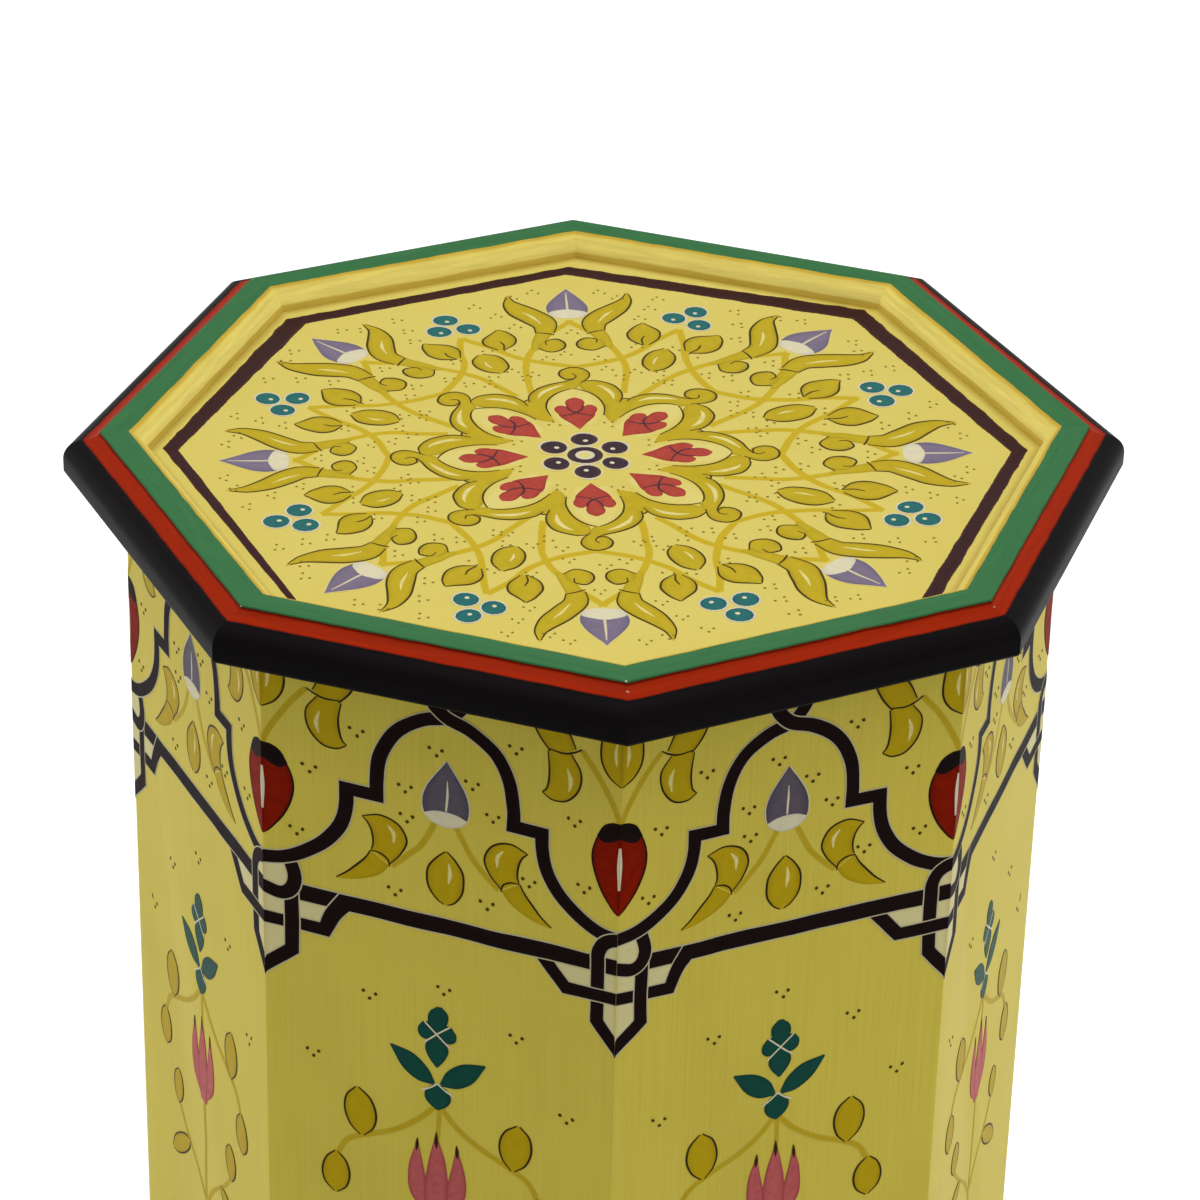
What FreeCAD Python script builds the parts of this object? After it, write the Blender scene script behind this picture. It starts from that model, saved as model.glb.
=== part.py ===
"""Octagonal painted side table: eight mitred side panels with an arch cut at each foot, under a tray top.

The top is a rebated octagonal board whose tongue is lapped by a ring of eight mitred mouldings.
Brads pin the mouldings to the tongue. A ring of cleats inside the panels takes screws up into the board,
and a triangular strip is glued into each upright corner.
Frame: millimetres, +Z up, origin on the floor at the middle, side number 1 facing -Y.
"""

import FreeCAD, Part
import math
import os
import Sketcher

SIDES = 8
TURN = 360 / SIDES
HALF_TURN = TURN / 2

SIZES = {
    # body
    "table_height": 508.0,
    "body_width": 360.0,
    "panel_thickness": 12.0,
    # arch at the foot of each panel
    "arch_width": 92.0,
    "arch_jamb": 68.0,
    "arch_shoulder": 7.0,
    "arch_step": 9.0,
    "arch_rise": 56.0,
    # top board
    "board_thickness": 10.0,
    "tongue_width": 12.0,
    "tongue_thickness": 5.0,
    # moulding round the top, from the outer nose to the field
    "top_overhang": 23.0,
    "nose_reach": 7.5,
    "nose_fall": 8.5,
    "nose_arris": 2.5,
    "step_width": 6.6,
    "step_drop": 4.0,
    "step_lip": 1.2,
    "cove_radius": 9.0,
    "band_width": 11.5,
    "slope_width": 6.3,
    "field_depth": 10.0,
    # inner woodwork
    "cleat_depth": 18.0,
    "cleat_height": 22.0,
    "strip_leg": 20.0,
    "strip_floor_gap": 6.0,
    # fixings
    "screw_shank": 3.5,
    "screw_head": 7.0,
    "screw_head_height": 2.6,
    "screw_slot": 1.0,
    "screw_slot_depth": 1.3,
    "screw_tip": 3.0,
    "screw_bite": 7.0,
    "screw_spacing": 76.0,
    "brad_diameter": 1.4,
    "brad_tip": 1.6,
    "brad_bite": 3.5,
    "brad_cover": 1.0,
    "brad_spacing": 96.0,
    "fixing_clearance": 0.05,
}

doc = FreeCAD.newDocument("SideTable")
sheet = doc.addObject("Spreadsheet::Sheet", "Sizes")
for row, (alias, size) in enumerate(SIZES.items(), 1):
    sheet.set(f"A{row}", alias)
    sheet.set(f"B{row}", str(size))
    sheet.setAlias(f"B{row}", alias)
doc.recompute()

# Distances from the middle of the table to its flats, as expressions on the sheet
BODY_HALF = "(Sizes.body_width / 2)"
INSIDE_HALF = f"({BODY_HALF} - Sizes.panel_thickness)"
CLEAT_HALF = f"({INSIDE_HALF} - Sizes.cleat_depth)"
NOSE_HALF = f"({BODY_HALF} + Sizes.top_overhang)"
STEP_HALF = f"({NOSE_HALF} - Sizes.nose_reach)"
BAND_HALF = f"({STEP_HALF} - Sizes.step_width)"
BAND_INNER_HALF = f"({BAND_HALF} - Sizes.band_width)"
FIELD_HALF = f"({BAND_INNER_HALF} - Sizes.slope_width)"
TONGUE_HALF = f"({FIELD_HALF} + Sizes.tongue_width)"

# Heights above the floor
TOP = "Sizes.table_height"
FIELD = f"({TOP} - Sizes.field_depth)"
UNDERSIDE = f"({FIELD} - Sizes.board_thickness)"
TONGUE_TOP = f"({UNDERSIDE} + Sizes.tongue_thickness)"
CLEAT_LOW = f"({UNDERSIDE} - Sizes.cleat_height)"
BRAD_TOP = f"({TOP} - Sizes.brad_cover)"
BRAD_LOW = f"({TONGUE_TOP} - Sizes.brad_bite)"

# Lines on which the fixings stand, from the middle of the table
SCREW_LINE = f"(({INSIDE_HALF} + {CLEAT_HALF}) / 2)"
BRAD_LINE = f"({TONGUE_HALF} - Sizes.tongue_width / 4)"

MITRE = f"tan({HALF_TURN})"


def number(expression):
    """The value of an expression on the sheet, in millimetres."""
    return float(sheet.evalExpression(expression))


def minus(expression):
    return f"-({expression})"


def arc_between(start, stop, radius, side):
    """The arc under half a circle from start to stop, with its centre to the left (side 1) or right (-1)."""
    chord = stop - start
    left = FreeCAD.Vector(-chord.y, chord.x, 0).normalize()
    reach = math.sqrt(radius**2 - (chord.Length / 2) ** 2)
    centre = (start + stop) / 2 + left * side * reach
    first, last = (start, stop) if side > 0 else (stop, start)
    angles = [math.atan2(p.y - centre.y, p.x - centre.x) for p in (first, last)]
    circle = Part.Circle(centre, FreeCAD.Vector(0, 0, 1), radius)
    return Part.ArcOfCircle(circle, angles[0], angles[1])


def pin_point(sketch, edge, vertex, x, y):
    """Holds one end of a sketch edge at the place that two expressions give."""
    for kind, axis, place in (("DistanceX", -2, x), ("DistanceY", -1, y)):
        if place == "0":
            sketch.addConstraint(Sketcher.Constraint("PointOnObject", edge, vertex, axis))
        else:
            rule = Sketcher.Constraint(kind, -1, 1, edge, vertex, number(place))
            sketch.setExpression(f"Constraints[{sketch.addConstraint(rule)}]", place)


def draw_loop(sketch, corners, arcs=None):
    """A closed outline through corners given as expressions. arcs maps a corner's index to the radius
    and side of the arc that leaves it; the other edges are straight."""
    arcs = arcs or {}
    points = [FreeCAD.Vector(number(x), number(y), 0) for x, y in corners]
    count = len(points)
    edges = []
    for i, start in enumerate(points):
        stop = points[(i + 1) % count]
        if i in arcs:
            radius, side = arcs[i]
            edge = sketch.addGeometry(arc_between(start, stop, number(radius), side))
            edges.append((edge, 1, 2) if side > 0 else (edge, 2, 1))
        else:
            edges.append((sketch.addGeometry(Part.LineSegment(start, stop)), 1, 2))
    for i, (edge, begin, end) in enumerate(edges):
        following, next_begin, _ = edges[(i + 1) % count]
        sketch.addConstraint(Sketcher.Constraint("Coincident", edge, end, following, next_begin))
        pin_point(sketch, edge, begin, *corners[i])
    for i, (radius, _) in arcs.items():
        rule = Sketcher.Constraint("Radius", edges[i][0], number(radius))
        sketch.setExpression(f"Constraints[{sketch.addConstraint(rule)}]", radius)


def draw_circle(sketch, x, y, radius):
    circle = Part.Circle(
        FreeCAD.Vector(number(x), number(y), 0), FreeCAD.Vector(0, 0, 1), number(radius)
    )
    edge = sketch.addGeometry(circle)
    pin_point(sketch, edge, 3, x, y)
    rule = Sketcher.Constraint("Radius", edge, number(radius))
    sketch.setExpression(f"Constraints[{sketch.addConstraint(rule)}]", radius)


def new_body(label, angle=0.0):
    """A body turned about the upright axis to its side or corner of the table."""
    body = doc.addObject("PartDesign::Body", label)
    body.Label = label
    turn = FreeCAD.Rotation(FreeCAD.Vector(0, 0, 1), angle)
    body.Placement = FreeCAD.Placement(FreeCAD.Vector(0, 0, 0), turn)
    return body


def new_sketch(body, name, role, height=None):
    """A sketch on one of the body's own planes, lifted along that plane's normal where a height is given."""
    sketch = body.newObject("Sketcher::SketchObject", f"{body.Name}_{name}")
    plane = next(f for f in body.Origin.OriginFeatures if f.Role == role)
    sketch.AttachmentSupport = [(plane, "")]
    sketch.MapMode = "FlatFace"
    if height:
        sketch.setExpression("AttachmentOffset.Base.z", height)
    return sketch


def add_pad(body, sketch, length, side="One side"):
    pad = body.newObject("PartDesign::Pad", f"{sketch.Name}_pad")
    pad.Profile = sketch
    pad.SideType = side
    pad.setExpression("Length", length)
    doc.recompute()
    return pad


def add_pocket(body, sketch, length=None, upward=False):
    """Cuts the sketch out of the body: right through, or to a depth below or above the sketch."""
    before = body.Tip.Shape.Volume
    pocket = body.newObject("PartDesign::Pocket", f"{sketch.Name}_cut")
    pocket.Profile = sketch
    if length:
        pocket.setExpression("Length", length)
        pocket.Reversed = upward
    else:
        pocket.Type = "ThroughAll"
        pocket.SideType = "Symmetric"
    doc.recompute()
    if not pocket.Shape.Volume < before:
        raise RuntimeError(f"{pocket.Name} removes nothing")
    return pocket


def repeat_round(body, feature):
    """Repeats a feature once for each side of the table."""
    before = body.Tip.Shape.Volume
    pattern = body.newObject("PartDesign::PolarPattern", f"{feature.Name}_round")
    pattern.Originals = [feature]
    axis = next(f for f in body.Origin.OriginFeatures if f.Role == "Z_Axis")
    pattern.Axis = (axis, [""])
    pattern.Angle = 360
    pattern.Occurrences = SIDES
    body.Tip = pattern
    doc.recompute()
    if not pattern.Shape.Volume < before:
        raise RuntimeError(f"{pattern.Name} repeats nothing")
    return pattern


def octagon(half_width):
    """Corner expressions of the octagon whose flats lie half_width from the middle."""
    spokes = [HALF_TURN + TURN * i for i in range(SIDES)]
    reach = f"{half_width} / cos({HALF_TURN})"
    return [(f"{reach} * cos({a})", f"{reach} * sin({a})") for a in spokes]


def mitred_slat(inner, outer):
    """Plan of a slat on the side facing -Y, mitred so that eight of them close the ring."""
    return [
        (minus(f"{outer} * {MITRE}"), minus(outer)),
        (f"{outer} * {MITRE}", minus(outer)),
        (f"{inner} * {MITRE}", minus(inner)),
        (minus(f"{inner} * {MITRE}"), minus(inner)),
    ]


# Side panels: mitred boards from the floor to the underside of the top, each with an arch cut out at the foot


def make_side_panel(index):
    panel = new_body(f"side_panel_{index + 1}", TURN * index)
    plan = new_sketch(panel, "plan", "XY_Plane")
    draw_loop(plan, mitred_slat(INSIDE_HALF, BODY_HALF))
    add_pad(panel, plan, UNDERSIDE)

    half_span = "(Sizes.arch_width / 2)"
    half_head = f"({half_span} - Sizes.arch_shoulder)"
    spring = "(Sizes.arch_jamb + Sizes.arch_step)"
    crown = f"({spring} + Sizes.arch_rise)"
    head_radius = f"(({half_head} * {half_head} + Sizes.arch_rise * Sizes.arch_rise) / (2 * {half_head}))"
    below_floor = minus("Sizes.panel_thickness")
    arch = new_sketch(panel, "arch", "XZ_Plane")
    outline = [
        (minus(half_span), below_floor),
        (half_span, below_floor),
        (half_span, "Sizes.arch_jamb"),
        (half_head, "Sizes.arch_jamb"),
        (half_head, spring),
        ("0", crown),
        (minus(half_head), spring),
        (minus(half_head), "Sizes.arch_jamb"),
        (minus(half_span), "Sizes.arch_jamb"),
    ]
    draw_loop(arch, outline, {4: (head_radius, 1), 5: (head_radius, 1)})
    add_pocket(panel, arch)
    return panel


# Corner strips: triangular lengths glued into each upright corner, from just off the floor to the cleats


def make_corner_strip(index):
    strip = new_body(f"corner_strip_{index + 1}", HALF_TURN + TURN * index)
    plan = new_sketch(strip, "plan", "XY_Plane", "Sizes.strip_floor_gap")
    corner = f"{INSIDE_HALF} / cos({HALF_TURN})"
    across = f"Sizes.strip_leg * cos({HALF_TURN})"
    inward = f"({corner} - Sizes.strip_leg * sin({HALF_TURN}))"
    draw_loop(plan, [("0", minus(corner)), (across, minus(inward)), (minus(across), minus(inward))])
    add_pad(strip, plan, f"{CLEAT_LOW} - Sizes.strip_floor_gap")
    return strip


# Top cleats: a mitred ring of battens inside the panels' top edges, drilled for the screws that hold the top


def make_top_cleat(index):
    cleat = new_body(f"top_cleat_{index + 1}", TURN * index)
    plan = new_sketch(cleat, "plan", "XY_Plane", CLEAT_LOW)
    draw_loop(plan, mitred_slat(CLEAT_HALF, INSIDE_HALF))
    add_pad(cleat, plan, "Sizes.cleat_height")
    drill = new_sketch(cleat, "drill", "XY_Plane", CLEAT_LOW)
    for side in ("", "-"):
        draw_circle(
            drill,
            f"{side}Sizes.screw_spacing / 2",
            minus(SCREW_LINE),
            "Sizes.screw_shank / 2 + Sizes.fixing_clearance",
        )
    add_pocket(cleat, drill)
    return cleat


# Top board: an octagon with a rebated edge; the raised middle is the painted field, the tongue goes under the rim


def make_top_board():
    board = new_body("top_board")
    tongue = new_sketch(board, "tongue", "XY_Plane", UNDERSIDE)
    draw_loop(tongue, octagon(TONGUE_HALF))
    add_pad(board, tongue, "Sizes.tongue_thickness")
    field = new_sketch(board, "field", "XY_Plane", UNDERSIDE)
    draw_loop(field, octagon(FIELD_HALF))
    add_pad(board, field, "Sizes.board_thickness")

    pilots = new_sketch(board, "pilots", "XY_Plane", UNDERSIDE)
    brad_holes = new_sketch(board, "brad_holes", "XY_Plane", TONGUE_TOP)
    for side in ("", "-"):
        draw_circle(
            pilots,
            f"{side}Sizes.screw_spacing / 2",
            minus(SCREW_LINE),
            "Sizes.screw_shank / 2 + Sizes.fixing_clearance",
        )
        draw_circle(
            brad_holes,
            f"{side}Sizes.brad_spacing / 2",
            minus(BRAD_LINE),
            "Sizes.brad_diameter / 2 + Sizes.fixing_clearance",
        )
    pilot_depth = "Sizes.screw_bite + Sizes.fixing_clearance"
    repeat_round(board, add_pocket(board, pilots, pilot_depth, upward=True))
    brad_depth = "Sizes.brad_bite + Sizes.fixing_clearance"
    repeat_round(board, add_pocket(board, brad_holes, brad_depth))
    return board


# Rim mouldings: mitred sticks with an ovolo towards the field, a flat band, a small cove step and a round nose


def make_rim_moulding(index):
    rim = new_body(f"rim_moulding_{index + 1}", 180 + TURN * index)
    profile = new_sketch(rim, "profile", "YZ_Plane")
    step_level = f"({TOP} - Sizes.step_drop)"
    ovolo = (
        "((Sizes.slope_width * Sizes.slope_width + Sizes.field_depth * Sizes.field_depth)"
        " / (2 * Sizes.slope_width))"
    )
    nose = (
        "((Sizes.nose_reach * Sizes.nose_reach + Sizes.nose_fall * Sizes.nose_fall)"
        " / (2 * Sizes.nose_reach))"
    )
    outline = [
        (FIELD_HALF, TONGUE_TOP),
        (TONGUE_HALF, TONGUE_TOP),
        (TONGUE_HALF, UNDERSIDE),
        (f"{NOSE_HALF} - Sizes.nose_arris", UNDERSIDE),
        (NOSE_HALF, f"{UNDERSIDE} + Sizes.nose_arris"),
        (NOSE_HALF, f"{step_level} - Sizes.nose_fall"),
        (STEP_HALF, step_level),
        (BAND_HALF, f"{TOP} - Sizes.step_lip"),
        (BAND_HALF, TOP),
        (BAND_INNER_HALF, TOP),
        (FIELD_HALF, FIELD),
    ]
    arcs = {
        3: ("Sizes.nose_arris", 1),
        5: (nose, 1),
        6: ("Sizes.cove_radius", -1),
        9: (ovolo, 1),
    }
    draw_loop(profile, outline, arcs)
    add_pad(rim, profile, f"2 * {NOSE_HALF} * {MITRE}", side="Symmetric")

    # beyond the mitre lines the stick is cut away, from well inside the field to past the nose
    near = f"{FIELD_HALF} / 2"
    far = f"({NOSE_HALF} + Sizes.nose_reach)"
    mitres = new_sketch(rim, "mitres", "XY_Plane")
    for side in ("", "-"):
        draw_loop(
            mitres,
            [
                (f"{side}{near} * {MITRE}", near),
                (f"{side}{far} * {MITRE}", near),
                (f"{side}{far} * {MITRE}", far),
            ],
        )
    add_pocket(rim, mitres)

    brad_holes = new_sketch(rim, "brad_holes", "XY_Plane", TONGUE_TOP)
    for side in ("", "-"):
        draw_circle(
            brad_holes,
            f"{side}Sizes.brad_spacing / 2",
            BRAD_LINE,
            "Sizes.brad_diameter / 2 + Sizes.fixing_clearance",
        )
    add_pocket(rim, brad_holes, f"{BRAD_TOP} - {TONGUE_TOP}", upward=True)
    return rim


# Fixings: one screw and one brad are turned on their own axes, then set out round the table


def turned(name, outline):
    """A body made by turning a half section, given as expressions, about the upright axis."""
    body = new_body(name)
    section = new_sketch(body, "section", "XZ_Plane")
    draw_loop(section, outline)
    turning = body.newObject("PartDesign::Revolution", f"{name}_turning")
    turning.Profile = section
    turning.ReferenceAxis = (section, ["V_Axis"])
    turning.Angle = 360
    doc.recompute()
    return body


def make_screw():
    """Round of a slotted pan-head wood screw, standing on its head under a cleat."""
    under_head = CLEAT_LOW
    point = f"({UNDERSIDE} + Sizes.screw_bite)"
    shank = "Sizes.screw_shank / 2"
    head = "Sizes.screw_head / 2"
    head_low = f"({under_head} - Sizes.screw_head_height)"
    outline = [
        ("0", head_low),
        (head, head_low),
        (head, under_head),
        (shank, under_head),
        (shank, f"{point} - Sizes.screw_tip"),
        ("0", point),
    ]
    screw = turned("cleat_screw_pattern", outline)
    slot = new_sketch(screw, "slot", "XY_Plane", head_low)
    half_slot, half_length = "Sizes.screw_slot / 2", "Sizes.screw_head"
    corners = [
        (minus(half_length), minus(half_slot)),
        (half_length, minus(half_slot)),
        (half_length, half_slot),
        (minus(half_length), half_slot),
    ]
    draw_loop(slot, corners)
    add_pocket(screw, slot, "Sizes.screw_slot_depth", upward=True)
    return screw


def make_brad():
    """A headless brad, punched below the surface of the band and stopped over."""
    outline = [
        ("0", BRAD_LOW),
        ("Sizes.brad_diameter / 2", f"{BRAD_LOW} + Sizes.brad_tip"),
        ("Sizes.brad_diameter / 2", BRAD_TOP),
        ("0", BRAD_TOP),
    ]
    return turned("rim_brad_pattern", outline)


def set_round(label, pattern, spacing, line):
    """Copies of a fixing, two to each side of the table, as one group of separate solids."""
    copies = []
    for index in range(SIDES):
        turn = FreeCAD.Placement(
            FreeCAD.Vector(0, 0, 0), FreeCAD.Rotation(FreeCAD.Vector(0, 0, 1), TURN * index)
        )
        for side in (-1, 1):
            copy = pattern.Shape.copy()
            copy.translate(FreeCAD.Vector(side * number(spacing) / 2, -number(line), 0))
            copy.Placement = turn.multiply(copy.Placement)
            copies.append(copy)
    group = doc.addObject("Part::Feature", label)
    group.Label = label
    group.Shape = Part.Compound(copies)
    return group


nodes = [make_top_board()]
for maker in (make_rim_moulding, make_side_panel, make_top_cleat, make_corner_strip):
    nodes += [maker(index) for index in range(SIDES)]
nodes.append(set_round("cleat_screws", make_screw(), "Sizes.screw_spacing", SCREW_LINE))
nodes.append(set_round("rim_brads", make_brad(), "Sizes.brad_spacing", BRAD_LINE))

doc.recompute()
for item in doc.Objects:
    if "Invalid" in item.State or "Error" in item.State:
        raise RuntimeError(f"{item.Label} failed: {item.State}")
for node in nodes:
    if node.Shape.isNull() or not node.Shape.isValid():
        raise RuntimeError(f"{node.Label} has no valid shape")

os.makedirs("parts", exist_ok=True)
for node in nodes:
    node.Shape.exportStep(f"parts/{node.Label}.step")
print(f"{len(nodes)} nodes written")
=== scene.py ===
import math

import bmesh
import bpy
import numpy as np
from mathutils import Matrix, Vector


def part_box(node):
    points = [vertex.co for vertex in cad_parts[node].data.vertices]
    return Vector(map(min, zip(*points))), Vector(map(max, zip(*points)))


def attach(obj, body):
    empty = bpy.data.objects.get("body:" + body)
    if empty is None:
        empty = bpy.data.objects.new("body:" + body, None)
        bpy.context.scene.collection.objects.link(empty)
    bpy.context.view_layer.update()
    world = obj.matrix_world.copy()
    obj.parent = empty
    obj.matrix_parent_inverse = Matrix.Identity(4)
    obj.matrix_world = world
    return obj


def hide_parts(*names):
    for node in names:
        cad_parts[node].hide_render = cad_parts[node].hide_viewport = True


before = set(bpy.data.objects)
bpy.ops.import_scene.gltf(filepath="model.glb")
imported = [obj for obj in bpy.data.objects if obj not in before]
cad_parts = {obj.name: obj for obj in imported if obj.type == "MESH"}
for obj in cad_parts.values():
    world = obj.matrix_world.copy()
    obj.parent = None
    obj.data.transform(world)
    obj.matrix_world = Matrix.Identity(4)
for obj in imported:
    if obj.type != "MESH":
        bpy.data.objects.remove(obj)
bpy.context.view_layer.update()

# Side panels: eight upright softwood boards, mitred and glued to each other into an octagonal body, each
# with an arch sawn out at the foot. Outside they are primed and brushed with ochre yellow oil paint, and
# the glued corners are eased with sandpaper before painting. Sizes here and below are in millimetres.
MM = 0.001
SIDES = 8
TURN = 360 / SIDES
MITRE = math.tan(math.radians(TURN / 2))
panel_low, panel_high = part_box("side_panel_1")
BODY = -panel_low.y / MM
INSIDE = -panel_high.y / MM
PANEL_TOP = panel_high.z / MM
CORNER_EASE = 1.5
EASE_STEPS = 4
ARCH_FOOT = 46.0
ARCH_SHOULDER = 68.0
ARCH_HEAD = 39.0
ARCH_SPRING = 77.0
ARCH_RADIUS = 59.7
ARCH_STEPS = 14
ARCH_ARRIS = 0.8
ARRIS_STEPS = 3
WELD = 0.001
PANEL_SHARP = 30
PANEL_YELLOW = "#D8C64D"
PANEL_STREAK_DARK = "#C3B13B"
PANEL_STREAK_PALE = "#E2D472"
STREAK_WIDTH = 0.6
STREAK_LENGTH = 70.0
STREAK_DEPTH = 0.05
PANEL_CLOUD = 60.0
PANEL_GLOSS = 0.1
PINE = "#C79C66"
PINE_LATE = "#A9773F"
PINE_RING = 5.0
PINE_RUN = 140.0
PINE_DULL = 0.75
SAW_DEPTH = 0.2


def linear(code):
    """A colour written as sRGB hex, in the linear light that shaders take."""
    parts = [int(code[i : i + 2], 16) / 255 for i in (1, 3, 5)]
    return (*(p / 12.92 if p <= 0.04045 else ((p + 0.055) / 1.055) ** 2.4 for p in parts), 1.0)


def add(tree, kind, inputs=(), **settings):
    """Adds a node with its settings. Each input takes a value, a colour in hex, or a link from an output or
    from the first output that another node has in use."""
    made = tree.nodes.new(kind)
    for name, value in settings.items():
        setattr(made, name, value)
    for name, value in dict(inputs).items():
        if isinstance(value, bpy.types.Node):
            value = next(output for output in value.outputs if output.enabled)
        if isinstance(value, bpy.types.NodeSocket):
            tree.links.new(value, made.inputs[name])
        else:
            made.inputs[name].default_value = linear(value) if str(value).startswith("#") else value
    return made


def new_material(name):
    """An empty material, its tree, and the coordinates of the object that wears it."""
    material = bpy.data.materials.new(name)
    material.use_nodes = True
    tree = material.node_tree
    tree.nodes.clear()
    return material, tree, add(tree, "ShaderNodeTexCoord").outputs["Object"]


def per_metre(size):
    """How many marks of a size in millimetres go into a metre, which is the scale of their pattern."""
    return 1 / (size * MM)


def toned(tree, ground, tone, pattern, start, full, most=1.0):
    """A ground colour with a tone over it: none where a pattern reads start, the most where it reads full."""
    between = {"Value": pattern, "From Min": start, "From Max": full, "To Max": most}
    share = add(tree, "ShaderNodeMapRange", between)
    return add(tree, "ShaderNodeMix", {0: share, 6: ground, 7: tone}, data_type="RGBA")


# Brushed oil paint on an upright board: an even yellow, with fine upright bristle marks that catch the light
panel_paint, tree, place = new_material("brushed yellow oil paint")
fine, long = per_metre(STREAK_WIDTH), per_metre(STREAK_LENGTH)
bristles = add(tree, "ShaderNodeMapping", {"Vector": place, "Scale": (fine, fine, long)})
marks = add(tree, "ShaderNodeTexNoise", {"Vector": bristles, "Scale": 1.0, "Detail": 3.0})
clouds = add(tree, "ShaderNodeTexNoise", {"Vector": place, "Scale": per_metre(PANEL_CLOUD), "Detail": 2.0})
darker = toned(tree, PANEL_YELLOW, PANEL_STREAK_DARK, marks, 0.52, 0.3, 0.3)
paler = toned(tree, darker, PANEL_STREAK_PALE, marks, 0.56, 0.75, 0.25)
finish = {
    "Base Color": toned(tree, paler, PANEL_STREAK_DARK, clouds, 0.45, 0.75, 0.25),
    "Roughness": add(tree, "ShaderNodeMapRange", {"Value": marks, "To Min": 0.4, "To Max": 0.62}),
    "Normal": add(tree, "ShaderNodeBump", {"Height": marks, "Strength": 0.25, "Distance": STREAK_DEPTH * MM}),
    "Specular IOR Level": PANEL_GLOSS,
}
add(tree, "ShaderNodeOutputMaterial", {"Surface": add(tree, "ShaderNodeBsdfPrincipled", finish)})


def saw_pine(tree, grain):
    """Sawn pine with no varnish: pale early wood, darker late wood in bands along the grain, a rough face."""
    rings = add(tree, "ShaderNodeTexNoise", {"Vector": grain, "Scale": 1.0, "Detail": 4.0})
    finish = {
        "Base Color": toned(tree, PINE, PINE_LATE, rings, 0.4, 0.65),
        "Roughness": PINE_DULL,
        "Normal": add(tree, "ShaderNodeBump", {"Height": rings, "Strength": 0.4, "Distance": SAW_DEPTH * MM}),
    }
    add(tree, "ShaderNodeOutputMaterial", {"Surface": add(tree, "ShaderNodeBsdfPrincipled", finish)})


# Bare pine inside: the grain runs up the board, so its bands are narrow across and long upwards
bare_pine, tree, place = new_material("sawn bare pine, upright grain")
fine, long = per_metre(PINE_RING), per_metre(PINE_RUN)
saw_pine(tree, add(tree, "ShaderNodeMapping", {"Vector": place, "Scale": (fine, fine, long)}))


def new_piece(name, mesh, *materials):
    """An object at the origin for a mesh that already has its place."""
    for material in materials:
        mesh.materials.append(material)
    piece = bpy.data.objects.new(name, mesh)
    bpy.context.scene.collection.objects.link(piece)
    return piece


def new_face(bm, points, slot=0):
    """A face through points in millimetres."""
    made = bm.faces.new([bm.verts.new((x * MM, y * MM, z * MM)) for x, y, z in points])
    made.material_index = slot


def on_side(bm, name, index, sharp):
    """What was drawn on side 1 as a mesh on its own side, smooth but for edges that turn more than sharp."""
    bm.transform(Matrix.Rotation(math.radians(TURN * index), 4, "Z"))
    mesh = bpy.data.meshes.new(name)
    bm.to_mesh(mesh)
    bm.free()
    mesh.shade_smooth()
    mesh.set_sharp_from_angle(angle=math.radians(sharp))
    return mesh


def arch_line(outside=0.0):
    """The right half of the foot arch as (x, z), from the floor to the crown, moved outwards by a margin."""
    radius = ARCH_RADIUS + outside
    centre = ARCH_HEAD - ARCH_RADIUS
    crown = math.acos(-centre / radius)
    foot, shoulder = ARCH_FOOT + outside, ARCH_SHOULDER + outside
    turns = [crown * i / ARCH_STEPS for i in range(ARCH_STEPS + 1)]
    curve = [(centre + radius * math.cos(a), ARCH_SPRING + radius * math.sin(a)) for a in turns]
    return [(foot, 0), (foot, shoulder), (ARCH_HEAD + outside, shoulder), *curve]


def panel_mesh(index):
    """One side panel: outer face, arch wall, feet, mitred ends with an eased corner, and the bare back."""
    bm = bmesh.new()
    half = arch_line()
    arch = [(-x, z) for x, z in half[:-1]] + [(0, half[-1][1])] + half[-2::-1]
    tangent = BODY * MITRE - CORNER_EASE * MITRE
    back_half = INSIDE * MITRE
    sweep = [math.radians(TURN / 2 * i / EASE_STEPS) for i in range(EASE_STEPS + 1)]
    centre = -(BODY - CORNER_EASE)
    ends = [(tangent + CORNER_EASE * math.sin(a), centre - CORNER_EASE * math.cos(a)) for a in sweep]
    ends.append((back_half, -INSIDE))
    for reach, face, slot in ((tangent, BODY, 0), (back_half, INSIDE, 1)):
        flat = [(-reach, 0), *arch, (reach, 0), (reach, PANEL_TOP), (-reach, PANEL_TOP)]
        new_face(bm, [(x, -face, z) for x, z in flat], slot)
    for (xa, za), (xb, zb) in zip(arch, arch[1:]):
        new_face(bm, [(xa, -BODY, za), (xb, -BODY, zb), (xb, -INSIDE, zb), (xa, -INSIDE, za)])
    for side in (1, -1):
        for i, ((xa, ya), (xb, yb)) in enumerate(zip(ends, ends[1:])):
            quad = [(xa, ya, 0), (xb, yb, 0), (xb, yb, PANEL_TOP), (xa, ya, PANEL_TOP)]
            new_face(bm, [(side * x, y, z) for x, y, z in quad], int(i == EASE_STEPS))
        foot = [*ends, (ARCH_FOOT, -INSIDE), (ARCH_FOOT, -BODY)]
        new_face(bm, [(side * x, y, 0) for x, y in foot], 1)
    top = [*ends, *[(-x, y) for x, y in reversed(ends)]]
    new_face(bm, [(x, y, PANEL_TOP) for x, y in top], 1)
    bmesh.ops.remove_doubles(bm, verts=bm.verts, dist=WELD * MM)
    bmesh.ops.recalc_face_normals(bm, faces=bm.faces)
    arris = [
        edge
        for edge in bm.edges
        if all(
            abs(v.co.y + BODY * MM) < WELD * MM and abs(v.co.x) < (ARCH_FOOT + WELD) * MM for v in edge.verts
        )
        and any(WELD * MM < v.co.z < PANEL_TOP / 2 * MM for v in edge.verts)
    ]
    bmesh.ops.bevel(
        bm, geom=arris, offset=ARCH_ARRIS * MM, segments=ARRIS_STEPS, profile=0.5, affect="EDGES"
    )
    return on_side(bm, f"panel_{index + 1}", index, PANEL_SHARP)


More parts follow.
